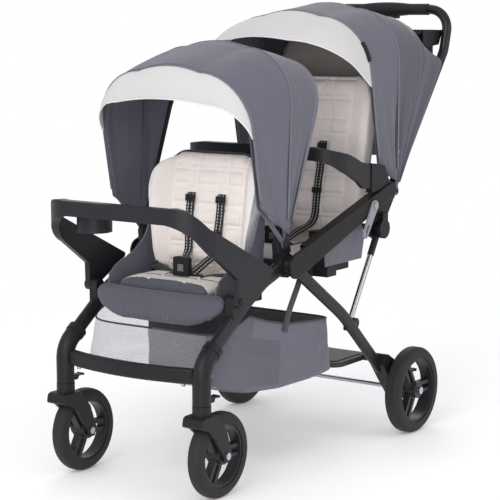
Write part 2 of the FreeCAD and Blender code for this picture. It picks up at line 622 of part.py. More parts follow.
front_side = size["frame_half_width"]
for sign, where in ((1, "left"), (-1, "right")):
    make_wheel(
        "front_wheel_" + where, "Front wheel %s" % where, front_side * sign, size["front_wheel_back"],
        size["front_wheel_radius"], size["front_wheel_width"], size["front_rim_radius"],
        size["wheel_hub_length"], size["pin_radius"] + size["running_gap"],
    )
    make_wheel(
        "rear_wheel_" + where, "Rear wheel %s" % where, size["rear_wheel_side"] * sign,
        size["rear_wheel_back"],
        size["rear_wheel_radius"], size["rear_wheel_width"], size["rear_rim_radius"],
        size["rear_hub_length"], size["rear_axle_radius"] + size["running_gap"],
    )


# Caster forks with their stems, axles and the swivel lock tabs
def make_caster():
    radius = size["front_wheel_radius"]
    outer = size["fork_half_width"]
    points = shares_outline(FORK_OUTLINE_SHARES, (zero, zero), (radius, radius))
    blade = prism("fork_blade", "YZ_Plane", points, outer * 2,
                  (front_side - outer, back(0), size["fork_top"]), size["fork_eye_radius"] * 0.4)
    eye = rod("fork_eye", size["fork_eye_radius"], outer * 2,
              (front_side - outer, back(size["front_wheel_back"]), radius))
    crown = rod("fork_crown", size["crown_radius"],
                size["crown_top"] - size["fork_top"] + size["rib_width"],
                (front_side, back(0), size["fork_top"] - size["rib_width"]), "z")
    stem = rod("fork_stem", size["stem_radius"], size["stem_rise"] + size["rib_width"],
               (front_side, back(0), size["crown_top"] - size["rib_width"]), "z")
    whole = fuse("fork_whole", [blade, eye, crown, stem])
    well_half = size["fork_well_half_width"]
    well = rod("fork_well", radius + size["fork_well_gap"], well_half * 2,
               (front_side - well_half, back(size["front_wheel_back"]), radius))
    hollow = cut("fork_hollow", whole, well)
    bore_radius = size["pin_radius"] + size["fit_gap"] * half_share
    bore = rod("fork_bore", bore_radius, outer * 2,
               (front_side - outer, back(size["front_wheel_back"]), radius))
    fork = cut("fork_left_body", hollow, bore)
    node("caster_fork_left", "Caster fork left", fork)
    node("caster_fork_right", "Caster fork right", mirrored("fork_right_body", fork))
    pin = rod("front_pin", size["pin_radius"], outer * 2,
              (front_side - outer, back(size["front_wheel_back"]), radius))
    head = size["axle_head_radius"]
    reach = size["axle_head_length"]
    near_head = rod("front_pin_head", head, reach,
                    (front_side + outer, back(size["front_wheel_back"]), radius))
    far_head = rod("front_pin_nut", head, reach,
                   (front_side - outer - reach, back(size["front_wheel_back"]), radius))
    axle = fuse("front_axle_left_body", [pin, near_head, far_head])
    node("front_axle_left", "Front axle left", axle)
    node("front_axle_right", "Front axle right", mirrored("front_axle_right_body", axle))


make_caster()


def make_lock():
    width = size["lock_width"]
    thickness = size["lock_thickness"]
    at = (front_side - width * half_share, back(size["lock_back"]), size["lock_height"])
    eye = rod("lock_eye", thickness * 0.75, width, at)
    blade = box("lock_blade", (width, size["lock_length"], thickness * half_share), at)
    tip = rod("lock_tip", thickness * half_share, width,
              (at[0], at[1] + size["lock_length"], at[2] + thickness * 0.25))
    whole = fuse("lock_whole", [eye, blade, tip])
    hole = rod("lock_hole", size["lock_pin_radius"] + size["running_gap"], width, at)
    lock = cut("swivel_lock_left_body", whole, hole)
    node("swivel_lock_left", "Swivel lock left", lock)
    node("swivel_lock_right", "Swivel lock right", mirrored("swivel_lock_right_body", lock))


make_lock()


# Front legs: elbows, oval tubes and crossbar
def leg_points():
    side = front_side.value
    start = Vector(side, back(size["collar_back"]).value, size["collar_height"].value)
    middle = Vector(side, back(size["leg_middle_back"]).value, size["leg_middle_height"].value)
    shoulder = Vector(side, back(size["leg_shoulder_back"]).value, size["leg_shoulder_height"].value)
    hub = Vector(side, back(size["hub_back"]).value, size["hub_height"].value)
    end = along(hub, shoulder, size["hub_block_radius"].value + size["layer_gap"].value)
    return start, middle, shoulder, end


def make_elbows():
    side = front_side.value
    start, middle = leg_points()[:2]
    foot = Vector(side, back(0).value, size["elbow_foot"].value)
    knee = Vector(side, back(0).value, size["elbow_bend_height"].value)
    radius = size["elbow_radius"].value
    body = round_tube([foot, knee, start], size["elbow_bend"].value, radius)
    direction = (start - knee).normalize()
    collar = Part.makeCylinder(size["collar_radius"].value, size["collar_length"].value,
                               start - direction * size["collar_length"].value, direction)
    body = body.fuse(collar)
    slot_depth = size["collar_length"].value * 1.5
    slot_start = start - direction * slot_depth
    tall = size["leg_tall"].value + size["fit_gap"].value
    wide = size["leg_wide"].value + size["fit_gap"].value
    tube_axis = (middle - slot_start).normalize()
    socket = Part.Face(oval_profile(slot_start, tube_axis, tall,
                                    wide)).extrude(tube_axis * (slot_depth * 1.2))
    body = body.cut(socket)
    bore_radius = size["stem_radius"].value + size["running_gap"].value
    overrun = size["cut_overrun"].value
    bore = Part.makeCylinder(bore_radius, size["elbow_bore_rise"].value + overrun,
                             foot - Vector(0, 0, overrun),
                             Vector(0, 0, 1))
    body = body.cut(bore)
    pin_at = Vector(side, back(size["lock_back"]).value, size["lock_height"].value)
    reach = size["lock_width"].value * half_share + size["layer_gap"].value
    ear = size["lock_thickness"].value
    for sign in (-1, 1):
        near = pin_at.x + sign * reach
        low = min(near, near + sign * ear * half_share)
        deep = size["lock_back"].value
        block = Part.makeBox(ear * half_share, deep, ear * 2, Vector(low, back(0).value, pin_at.z - ear))
        rounded = Part.makeCylinder(ear, ear * half_share, Vector(low, pin_at.y, pin_at.z), Vector(1, 0, 0))
        body = body.fuse(block.fuse(rounded))
    pin = Part.makeCylinder(size["lock_pin_radius"].value, reach * 2, pin_at - Vector(reach, 0, 0),
                            Vector(1, 0, 0))
    body = body.fuse(pin).cut(bore)
    node("leg_elbows", "Leg elbows", pair("leg_elbow_pair", solid("leg_elbow_body", body.removeSplitter())))


make_elbows()


def make_leg_tubes():
    start, middle, shoulder, end = leg_points()
    side = front_side.value
    knee = Vector(side, back(0).value, size["elbow_bend_height"].value)
    direction = (start - knee).normalize()
    inside = start - direction * (size["collar_length"].value * 1.5)
    shape = oval_tube([inside, middle, shoulder, end], size["leg_bend"].value, size["leg_tall"].value,
                      size["leg_wide"].value, size["handle_wall"].value)
    node("leg_tubes", "Front leg tubes", pair("leg_tube_pair", solid("leg_tube_body", shape)))


make_leg_tubes()


def make_crossbar():
    end = size["crossbar_end"].value
    y = back(size["crossbar_back"]).value
    z = size["crossbar_height"].value
    tall = size["crossbar_tall"].value
    deep = size["crossbar_deep"].value
    bow = size["crossbar_bow"].value
    low = z - tall / 2
    outer = Part.Arc(Vector(-end, y - deep / 2, low), Vector(0, y - deep / 2 - bow, low),
                     Vector(end, y - deep / 2, low)).toShape()
    inner = Part.Arc(Vector(end, y + deep / 2, low), Vector(0, y + deep / 2 - bow, low),
                     Vector(-end, y + deep / 2, low)).toShape()
    ends = [
        Part.makeLine(Vector(end, y - deep / 2, low), Vector(end, y + deep / 2, low)),
        Part.makeLine(Vector(-end, y + deep / 2, low), Vector(-end, y - deep / 2, low)),
    ]
    band = Part.Face(Part.Wire([outer, ends[0], inner, ends[1]])).extrude(Vector(0, 0, tall))
    long_edges = [edge for edge in band.Edges if edge.Curve.TypeId == "Part::GeomCircle"]
    band = band.makeFillet(deep * 0.3, long_edges)
    node("crossbar", "Front crossbar", solid("crossbar_body", band))
    screws = []
    for k, sign in enumerate((-1, 1)):
        at = (size["screw_spread"] * sign, back(size["crossbar_back"]) - size["crossbar_bow"] * 0.27,
              size["crossbar_height"] - size["crossbar_tall"] * half_share - size["screw_drop"])
        screws.append(rod("crossbar_screw_" + "ab"[k], size["screw_radius"], size["screw_drop"], at, "z"))
    group = doc.addObject("Part::Compound", "crossbar_screw_pair")
    group.Links = screws
    return group


crossbar_screws = make_crossbar()


# Hub housings, side rails, pins and canopy mounts
def make_hubs():
    inner = size["hub_inner"]
    width = size["hub_outer"] - inner
    radius = size["hub_block_radius"]
    block = rod("hub_block", radius, width, (inner, back(size["hub_back"]), size["hub_height"]))
    half_pad = size["hub_pad_half"]
    pad = box("hub_pad", (size["canopy_half_width"] - (size["bow_thickness"] + size["layer_gap"]) * 3.0
                          - size["layer_gap"] - inner, half_pad * 1.6, radius),
              (inner, back(size["hub_back"]) - half_pad, size["hub_pad_top"] - radius))
    whole = fuse("hub_whole", [block, pad])
    hole = rod("hub_hole", size["pin_radius"] + size["fit_gap"] * half_share, width,
               (inner, back(size["hub_back"]), size["hub_height"]))
    housings = pair("hub_pair", cut("hub_body", whole, hole))
    pin = rod("hub_pin", size["pin_radius"], size["skin_inner"] - inner,
              (inner, back(size["hub_back"]), size["hub_height"]))
    cap = rod("hub_pin_cap", size["cap_radius"], size["cap_height"],
              (inner - size["cap_height"], back(size["hub_back"]), size["hub_height"]))
    return housings, pair("hub_pin_pair", fuse("hub_pin_body", [pin, cap]))


hub_housings, hub_pins = make_hubs()


def make_rails():
    hub = Vector(0, back(size["hub_back"]).value, size["hub_height"].value)
    joint = Vector(0, back(size["rail_joint_back"]).value, size["rail_joint_height"].value)
    direction = (joint - hub).normalize()
    across = Vector(0, -direction.z, direction.y)
    tall = size["rail_tall"].value
    start = hub + direction * size["rail_reach"].value
    eye = size["rail_eye_radius"].value
    top_front = start + across * tall / 2
    low_front = start - across * tall / 2
    top_back = joint + across * eye
    low_back = joint - across * eye
    inner = size["rail_inner"].value
    shift = Vector(inner, 0, 0)
    wire = Part.Wire([
        Part.makeLine(low_front + shift, low_back + shift),
        Part.Arc(low_back + shift, joint + direction * eye + shift, top_back + shift).toShape(),
        Part.makeLine(top_back + shift, top_front + shift),
        Part.makeLine(top_front + shift, low_front + shift),
    ])
    beam = Part.Face(wire).extrude(Vector(size["skin_inner"].value - inner, 0, 0))
    boss = size["skin_boss_radius"].value
    skin_shift = Vector(size["skin_inner"].value, 0, 0)
    skin_wire = Part.Wire([
        Part.makeLine(hub - across * boss + skin_shift, low_back + skin_shift),
        Part.Arc(low_back + skin_shift, joint + direction * eye + skin_shift,
                 top_back + skin_shift).toShape(),
        Part.makeLine(top_back + skin_shift, hub + across * boss + skin_shift),
        Part.Arc(hub + across * boss + skin_shift, hub - direction * boss + skin_shift,
                 hub - across * boss + skin_shift).toShape(),
    ])
    skin = Part.Face(skin_wire).extrude(Vector(size["skin_outer"].value - size["skin_inner"].value, 0, 0))
    rim_edges = [edge for edge in skin.Edges if edge.BoundBox.XMin > size["skin_outer"].value - 1e-3]
    skin = skin.makeFillet((size["skin_outer"].value - size["skin_inner"].value) * 0.4, rim_edges)
    bore = size["pin_radius"].value + size["running_gap"].value
    hole = Part.makeCylinder(bore, size["skin_inner"].value - inner, joint + shift, Vector(1, 0, 0))
    rail = beam.fuse(skin).cut(hole).removeSplitter()
    node("side_rails", "Side rails", pair("side_rail_pair", solid("side_rail_body", rail)))


make_rails()


def make_mounts():
    radius = size["hub_block_radius"]
    foot = size["hub_pad_top"]
    width = size["mount_width"]
    outer = size["canopy_half_width"] - (size["bow_thickness"]
                                         + size["layer_gap"]) * 3.0 - size["layer_gap"]
    points = shares_outline(MOUNT_SHARES, (zero, size["front_hood_height"] - foot),
                            (radius, size["front_hood_height"] - foot))
    plate = prism("mount_plate", "YZ_Plane", points, width,
                  (outer - width, back(size["front_hood_back"]), foot), size["bow_pin_radius"],
                  (1, 2, 3, 4))
    stub = rod("mount_stub", size["bow_pin_radius"],
               width * half_share + (size["bow_thickness"] + size["layer_gap"]) * 3.0,
               (outer - width * half_share, back(size["front_hood_back"]), size["front_hood_height"]))
    return pair("canopy_mount_pair", fuse("canopy_mount_body", [plate, stub]))


canopy_mounts = make_mounts()


# Rear frame: legs, foot brackets, axle, platform and brake levers
def make_rear_legs():
    inner = size["rear_leg_inner"].value
    wide = size["rear_leg_wide"].value
    side = inner + wide / 2
    hub = Vector(side, back(size["hub_back"]).value, size["hub_height"].value)
    start = Vector(side, back(size["rear_leg_start"]).value, size["rear_leg_start_height"].value)
    middle = Vector(side, back(size["rear_leg_middle"]).value, size["rear_leg_middle_height"].value)
    foot = Vector(side, back(size["rear_foot_back"]).value, size["rear_foot_height"].value)
    begin = along(hub, start, size["rear_eye_radius"].value * 0.4)
    tube = oval_tube([begin, middle, foot], size["rear_leg_bend"].value, size["rear_leg_tall"].value, wide)
    eye = Part.makeCylinder(size["rear_eye_radius"].value, wide, hub - Vector(wide / 2, 0, 0),
                            Vector(1, 0, 0))
    hole = Part.makeCylinder(size["pin_radius"].value + size["running_gap"].value, wide,
                             hub - Vector(wide / 2, 0, 0), Vector(1, 0, 0))
    lug_at = Vector(size["strut_lug_inner"].value, back(size["strut_lug_back"]).value,
                    size["strut_lug_height"].value)
    lug_radius = size["strut_lug_radius"].value
    wall = size["strut_lug_wall"].value
    cheek_low = Part.makeCylinder(lug_radius, wall, lug_at, Vector(1, 0, 0))
    high_x = size["strut_side"].value + size["strut_radius"].value + size["layer_gap"].value
    high_at = Vector(high_x, lug_at.y, lug_at.z)
    cheek_high = Part.makeCylinder(lug_radius, inner + wide / 2 - high_x, high_at, Vector(1, 0, 0))
    bridge_drop = lug_radius + size["strut_lug_wall"].value * 2
    bridge = Part.makeBox(inner + wide / 2 - lug_at.x, lug_radius * 1.6, wall,
                          Vector(lug_at.x, lug_at.y - lug_radius * 0.9, lug_at.z - bridge_drop))
    web_low = Part.makeBox(wall, lug_radius * 1.6, bridge_drop,
                           Vector(lug_at.x, lug_at.y - lug_radius * 0.9, lug_at.z - bridge_drop))
    web_high = Part.makeBox(inner + wide / 2 - high_x, lug_radius * 1.6, bridge_drop,
                            Vector(high_x, lug_at.y - lug_radius * 0.9, lug_at.z - bridge_drop))
    pin = Part.makeCylinder(size["bow_pin_radius"].value, high_x - lug_at.x, lug_at, Vector(1, 0, 0))
    leg = tube.fuse([eye, cheek_low, cheek_high, bridge, web_low, web_high, pin]).cut(hole).removeSplitter()
    node("rear_legs", "Rear legs", pair("rear_leg_pair", solid("rear_leg_body", leg)))


make_rear_legs()


def make_brackets():
    inner = size["bracket_inner"]
    width = size["bracket_outer"] - inner
    eye = size["bracket_eye_radius"]
    points = shares_outline(BRACKET_OUTLINE_SHARES, (zero, zero), (eye, eye))
    plate = prism("bracket_plate", "YZ_Plane", points, width,
                  (inner, back(size["rear_wheel_back"]), size["rear_wheel_radius"]), eye * 0.3)
    brake_eye = rod("bracket_brake_eye", size["brake_eye_radius"] * 1.4, width,
                    (inner, back(size["brake_back"]), size["brake_height"]))
    whole = fuse("bracket_whole", [plate, brake_eye])
    doc.recompute()
    side = size["rear_leg_inner"].value + size["rear_leg_wide"].value / 2
    middle = Vector(side, back(size["rear_leg_middle"]).value, size["rear_leg_middle_height"].value)
    foot = Vector(side, back(size["rear_foot_back"]).value, size["rear_foot_height"].value)
    direction = (foot - middle).normalize()
    gap = size["fit_gap"].value
    profile = oval_profile(foot - direction * size["rear_leg_tall"].value * 3, direction,
                           size["rear_leg_tall"].value + gap, size["rear_leg_wide"].value + gap)
    socket_shape = Part.Face(profile).extrude(direction * (size["rear_leg_tall"].value * 3 + gap))
    socket = solid("bracket_socket", socket_shape)
    hole = rod("bracket_hole", size["rear_axle_radius"] + size["fit_gap"] * half_share, width,
               (inner, back(size["rear_wheel_back"]), size["rear_wheel_radius"]))
    slot_low = size["brake_inner"] - size["layer_gap"]
    slot = rod("bracket_brake_slot", size["brake_eye_radius"] * 2.2,
               size["brake_width"] + size["layer_gap"] * 2.0,
               (slot_low, back(size["brake_back"]), size["brake_height"]))
    tools = fuse("bracket_tools", [socket, hole, slot])
    shaped = cut("bracket_shaped", whole, tools)
    pin = rod("brake_pin", size["bow_pin_radius"], width,
              (inner, back(size["brake_back"]), size["brake_height"]))
    bracket = fuse("bracket_body", [shaped, pin])
    node("wheel_brackets", "Rear foot brackets", pair("bracket_pair", bracket))
    end = size["rear_axle_end"]
    bar = rod("rear_axle_bar", size["rear_axle_radius"], end * 2,
              (-end, back(size["rear_wheel_back"]), size["rear_wheel_radius"]))
    caps = []
    for sign in (-1, 1):
        low = end if sign > 0 else -end - size["axle_head_length"]
        at = (low, back(size["rear_wheel_back"]), size["rear_wheel_radius"])
        caps.append(rod("rear_axle_cap_" + ("near" if sign > 0 else "far"), size["cap_radius"],
                        size["axle_head_length"], at))
    node("rear_axle", "Rear axle", fuse("rear_axle_body", [bar] + caps))


make_brackets()


def make_platform():
    w = size["platform_half_width"]
    depth = size["platform_depth"]
    front = back(size["platform_front"])
    low = size["platform_top"] - size["platform_thickness"]
    points = [(-w, zero), (w, zero), (w, depth), (-w, depth)]
    board = prism("platform_board", "XY_Plane", points, size["platform_thickness"] - size["platform_tread"],
                  (zero, front, low), size["platform_corner"])
    tread_inset = size["platform_corner"] * half_share
    tread_points = [(-w + tread_inset, tread_inset), (w - tread_inset, tread_inset),
                    (w - tread_inset, depth - tread_inset), (-w + tread_inset, depth - tread_inset)]
    tread = prism("platform_tread_pad", "XY_Plane", tread_points, size["platform_tread"] + size["fit_gap"],
                  (zero, front, size["platform_top"] - size["platform_tread"] - size["fit_gap"]),
                  tread_inset)
    arms = []
    arm_width = size["bracket_inner"] - w + tread_inset
    for sign in (-1, 1):
        low_x = w - tread_inset if sign > 0 else -(w - tread_inset) - arm_width
        extent = (arm_width, size["platform_arm_height"], size["platform_thickness"])
        arms.append(box("platform_arm_" + ("near" if sign > 0 else "far"), extent,
                        (low_x, front + depth - size["platform_arm_height"], low)))
    node("platform", "Standing platform", fuse("platform_body", [board, tread] + arms))


make_platform()


def make_brakes():
    inner = size["brake_inner"]
    width = size["brake_width"]
    thickness = size["brake_thickness"]
    at = (inner, back(size["brake_back"]), size["brake_height"])
    eye = rod("brake_eye", size["brake_eye_radius"], width, at)
    blade = box("brake_blade", (width, size["brake_length"], thickness * 0.6),
                (at[0], at[1], at[2] + thickness * 0.1))
    pedal = rod("brake_pedal_edge", thickness * half_share, width,
                (at[0], at[1] + size["brake_length"], at[2] + thickness * 0.4))
    whole = fuse("brake_whole", [eye, blade, pedal])
    hole = rod("brake_hole", size["bow_pin_radius"] + size["running_gap"], width, at)
    lever = cut("brake_left_body", whole, hole)
    node("brake_pedal_left", "Brake pedal left", lever)
    node("brake_pedal_right", "Brake pedal right", mirrored("brake_right_body", lever))


make_brakes()


# Handle: castings, tube, grip, trigger and parent tray
def handle_points():
    side = size["handle_side"].value
    low = Vector(side, back(size["handle_start_back"]).value, size["handle_start_height"].value)
    knee = Vector(side, back(size["handle_knee_back"]).value, size["handle_knee_height"].value)
    top = Vector(side, back(size["handle_top_back"]).value, size["handle_top_height"].value)
    return low, knee, top


def make_handle():
    low, knee, top = handle_points()
    other = [Vector(-p.x, p.y, p.z) for p in (top, knee, low)]
    path = [low, knee, top] + other
    radius = size["handle_radius"].value
    side_of_tube = size["handle_side"].value
    tube = round_tube(path, size["handle_bend"].value, radius, size["handle_wall"].value)
    node("handle_tube", "Handle tube", solid("handle_tube_body", tube))
    direction = (knee - low).normalize()
    drop = size["rail_joint_height"] - size["crank_low_height"]
    inner = size["crank_inner"]
    width = size["crank_outer"] - inner
    joint = (back(size["rail_joint_back"]), size["rail_joint_height"])
    points = shares_outline(CRANK_SHARES, (zero, zero), (drop, drop))
    plate = prism("crank_plate", "YZ_Plane", points, width, (inner, joint[0], joint[1]),
                  size["axle_head_radius"])
    cheek_low = rod("clevis_low", size["clevis_radius"], size["clevis_gap_low"] - size["clevis_inner"],
                    (size["clevis_inner"], back(size["crank_low_back"]), size["crank_low_height"]))
    cheek_high = rod("clevis_high", size["clevis_radius"], size["clevis_outer"] - size["clevis_gap_high"],
                     (size["clevis_gap_high"], back(size["crank_low_back"]), size["crank_low_height"]))
    loop_reach = size["bow_pin_radius"] + size["strut_window"] + size["strut_lug_wall"] + size["clevis_slack"]
    ear_width = size["clevis_outer"] - size["clevis_gap_high"]
    ear = box("clevis_ear", (ear_width, size["clevis_radius"], loop_reach * 1.5),
              (size["clevis_gap_high"], back(size["crank_low_back"]) - size["clevis_radius"] * 0.4,
               size["crank_low_height"]))
    bridge = box("clevis_bridge",
                 (size["clevis_outer"] - size["handle_side"], size["clevis_radius"], loop_reach * 0.42),
                 (size["handle_side"], back(size["crank_low_back"]) - size["clevis_radius"] * 0.4,
                  size["crank_low_height"] + loop_reach * 1.12))
    whole = fuse("crank_whole", [plate, cheek_low, cheek_high, ear, bridge])
    slot_width = size["clevis_gap_high"] - size["clevis_gap_low"]
    slot = rod("clevis_slot", size["clevis_radius"] * 1.7, slot_width,
               (size["clevis_gap_low"], back(size["crank_low_back"]) - size["clevis_radius"] * 0.45,
                size["crank_low_height"] - size["clevis_radius"] * 1.25))
    loop_room = rod("clevis_loop_room", loop_reach, slot_width,
                    (size["clevis_gap_low"], back(size["crank_low_back"]), size["crank_low_height"]))
    tube_room_shape = Part.makeCylinder(radius + size["fit_gap"].value, (knee - low).Length,
                                        low - direction * size["fit_gap"].value, direction)
    tube_room = solid("crank_tube_room", tube_room_shape)
    tools = fuse("crank_tools", [slot, loop_room, tube_room])
    shaped = cut("crank_shaped", whole, tools)
    plug_radius = radius - size["handle_wall"].value - size["fit_gap"].value
    plug = solid("crank_plug",
                 Part.makeCylinder(plug_radius, size["handle_plug"].value * 2,
                                   low - direction * size["handle_plug"].value, direction))
    pin = rod("rail_joint_pin", size["pin_radius"], size["skin_inner"] - size["layer_gap"] - inner,
              (inner, joint[0], joint[1]))
    open_pin = rod("clevis_pin", size["bow_pin_radius"], size["clevis_outer"] - size["clevis_inner"],
                   (size["clevis_inner"], back(size["crank_low_back"]), size["crank_low_height"]))
    hood_stub = rod("rear_hood_stub", size["bow_pin_radius"],
                    size["rear_hood_half_width"] - size["layer_gap"] - size["handle_side"],
                    (size["handle_side"], back(size["rear_hood_back"]), size["rear_hood_height"]))
    hood_clip_shape = Part.makeCylinder(radius + size["strut_lug_wall"].value, size["pin_radius"].value * 3,
                                        low + direction * size["fit_gap"].value * 20, direction)
    hood_clip_shape = hood_clip_shape.cut(tube_room_shape)
    clip_limit = side_of_tube + radius + size["layer_gap"].value
    reach_far = size["handle_plug"].value * 2
    beyond = Part.makeBox(reach_far, reach_far * 2, reach_far * 2,
                          Vector(clip_limit, low.y - reach_far, low.z - reach_far))
    hood_clip_shape = hood_clip_shape.cut(beyond)
    hood_clip = solid("rear_hood_clip", hood_clip_shape)
    solid_room = solid("handle_inner_room", Part.makeCylinder(radius, (knee - low).Length, low, direction))
    stub_outside = cut("rear_hood_stub_outside", hood_stub, solid_room)
    casting = fuse("crank_body", [shaped, plug, pin, open_pin, hood_clip, stub_outside])
    node("handle_castings", "Handle castings", pair("crank_pair", casting))


make_handle()


def make_grip():
    y = back(size["handle_top_back"]).value
    z = size["handle_top_height"].value
    reach = size["grip_half_length"].value
    radius = size["grip_radius"].value
    bulge = size["grip_bulge"].value
    bulge_half = size["grip_bulge_half"].value
    profile = Part.Wire([
        Part.makeLine(Vector(-reach, 0, 0), Vector(-reach, radius, 0)),
        Part.makeLine(Vector(-reach, radius, 0), Vector(-bulge_half * 1.6, radius, 0)),
        Part.Arc(Vector(-bulge_half * 1.6, radius, 0), Vector(0, bulge, 0),
                 Vector(bulge_half * 1.6, radius, 0)).toShape(),
        Part.makeLine(Vector(bulge_half * 1.6, radius, 0), Vector(reach, radius, 0)),
        Part.makeLine(Vector(reach, radius, 0), Vector(reach, 0, 0)),
        Part.makeLine(Vector(reach, 0, 0), Vector(-reach, 0, 0)),
    ])
    grip = Part.Face(profile).revolve(Vector(0, 0, 0), Vector(1, 0, 0), full_turn)
    grip.translate(Vector(0, y, z))
    bore = size["handle_radius"].value + size["fit_gap"].value * half_share
    grip = grip.cut(Part.makeCylinder(bore, reach * 2, Vector(-reach, y, z), Vector(1, 0, 0)))
    width = size["trigger_half_width"].value
    depth = size["trigger_depth"].value
    gap = size["layer_gap"].value
    drop = size["trigger_drop"].value
    shell_low = z - bulge - drop * half_share
    shell = Part.makeBox((width + 4 * gap + radius * half_share) * 2, depth + radius * half_share,
                         z - radius * 0.9 - shell_low,
                         Vector(-(width + 4 * gap + radius * half_share),
                                y - (depth + radius * half_share) / 2, shell_low))
    grip = grip.fuse(shell)
    room = Part.makeBox((width + gap) * 2, depth + 2 * gap, z - radius * 0.92 - shell_low,
                        Vector(-width - gap, y - depth / 2 - gap, shell_low))
    room_high = Part.makeBox((width + gap) * 2, depth + 2 * gap, bulge * 0.3 + drop * half_share,
                             Vector(-width - gap, y - depth / 2 - gap, shell_low))
    grip = grip.cut(room.common(room_high))
    node("handle_grip", "Handle grip", solid("handle_grip_body", grip.removeSplitter()))
    travel = size["trigger_stem"].value * 0.7
    top = shell_low + bulge * 0.3 + drop * half_share - travel
    trigger = Part.makeBox(width * 2, depth, size["trigger_height"].value,
                           Vector(-width, y - depth / 2, top - size["trigger_height"].value))
    low_edges = [edge for edge in trigger.Edges if edge.BoundBox.ZMax < top - size["trigger_height"].value
                 + 1e-3]
    trigger = trigger.makeFillet(depth * 0.3, low_edges)
    node("fold_trigger", "Fold trigger", solid("fold_trigger_body", trigger))


make_grip()


def make_parent_tray():
    w = size["tray_half_width"]
    front = back(size["tray_front"])
    depth = size["tray_back"] - size["tray_front"]
    thickness = size["tray_thickness"]
    points = [(w * across, depth * along_depth) for across, along_depth in PARENT_TRAY_SHARES]
    floor = prism("tray_floor_board", "XY_Plane", points, thickness, (zero, front, size["tray_floor"]),
                  size["tray_corner"])
    wall = size["cup_wall"]
    rim_outer = prism("tray_rim_outer", "XY_Plane", points, size["tray_rim_rise"],
                      (zero, front, size["tray_floor"]), size["tray_corner"])
    inner_points = [(x - wall * side, y + wall * end) for (x, y),
                    (side, end) in zip(points, PARENT_TRAY_WALL_SIDES)]
    rim_inner = prism("tray_rim_inner", "XY_Plane", inner_points, size["tray_rim_rise"],
                      (zero, front, size["tray_floor"]), size["tray_corner"] - wall)
    rim = cut("tray_rim", rim_outer, rim_inner)
    cups = []
    rooms = []
    for sign, where in ((1, "near"), (-1, "far")):
        at = (size["cup_side"] * sign, back(size["cup_back"]),
              size["tray_floor"] + thickness - size["cup_depth"])
        cups.append(rod("tray_cup_" + where, size["cup_radius"] + wall, size["cup_depth"], at, "z"))
        inside = (at[0], at[1], at[2] + wall)
        rooms.append(rod("tray_cup_room_" + where, size["cup_radius"], size["cup_depth"] + wall, inside,
                         "z"))
    cheeks = []
    cheek_low = size["tray_cheek_low"]
    for sign, where in ((1, "near"), (-1, "far")):
        low_x = w - wall if sign > 0 else -w
        cheek_points = [(depth * 0.48, size["tray_floor"] + size["tray_rim_rise"]),
                        (depth * 0.48, cheek_low + thickness * 2),
                        (depth * 0.60, cheek_low), (depth * 0.9, cheek_low + thickness),
                        (depth, size["tray_floor"] + size["tray_rim_rise"])]
        cheeks.append(prism("tray_cheek_" + where, "YZ_Plane", cheek_points, wall, (low_x, front, zero)))
    whole = fuse("tray_whole", [floor, rim] + cups + cheeks)
    tools = fuse("tray_tools", rooms)
    node("parent_tray", "Parent tray", cut("parent_tray_body", whole, tools))


make_parent_tray()


# Struts between the rear legs and the handle castings
def make_struts():
    side = size["strut_side"].value
    low = Vector(side, back(size["strut_lug_back"]).value, size["strut_lug_height"].value)
    high = Vector(side, back(size["crank_low_back"]).value, size["crank_low_height"].value)
    direction = (high - low).normalize()
    length = (high - low).Length
    radius = size["strut_radius"].value
    eye_radius = size["strut_eye_radius"].value
    width = size["strut_eye_width"].value
    hole = size["bow_pin_radius"].value + size["running_gap"].value
    foot_eye = Part.makeCylinder(eye_radius, width, low - Vector(width / 2, 0, 0), Vector(1, 0, 0))
    sleeve = size["sleeve_length"].value
    bar_start = low + direction * eye_radius * 0.7
    bar = Part.makeCylinder(radius, length - sleeve - eye_radius * 0.7, bar_start, direction)
    spigot_radius = radius - size["strut_wall"].value
    overrun = size["cut_overrun"].value
    spigot = Part.makeCylinder(spigot_radius, sleeve * half_share,
                               low + direction * (length - sleeve - overrun), direction)
    hole_shape = Part.makeCylinder(hole, width, low - Vector(width / 2, 0, 0), Vector(1, 0, 0))
    strut = foot_eye.fuse([bar, spigot]).cut(hole_shape).removeSplitter()
    node("strut_tubes", "Strut tubes", pair("strut_pair", solid("strut_body", strut)))
    gap = size["fit_gap"].value * half_share
    start = low + direction * (length - sleeve + gap)
    window = size["bow_pin_radius"].value + size["strut_window"].value
    sleeve_length = sleeve - window * 0.85 - gap
    outer = Part.makeCylinder(size["sleeve_radius"].value, sleeve_length, start, direction)
    room = Part.makeCylinder(spigot_radius + gap, sleeve * half_share, start - direction * overrun,
                             direction)
    loop_wall = size["strut_lug_wall"].value
    outer_loop = window + loop_wall
    ring = Part.makeCylinder(outer_loop, width, high - Vector(width / 2, 0, 0), Vector(1, 0, 0))
    ring_room = Part.makeCylinder(window, width * 2, high - Vector(width, 0, 0), Vector(1, 0, 0))
    node_shape = outer.fuse(ring).cut(ring_room).cut(room).removeSplitter()
    node("strut_sleeves", "Strut sleeves", pair("sleeve_pair", solid("sleeve_body", node_shape)))


make_struts()


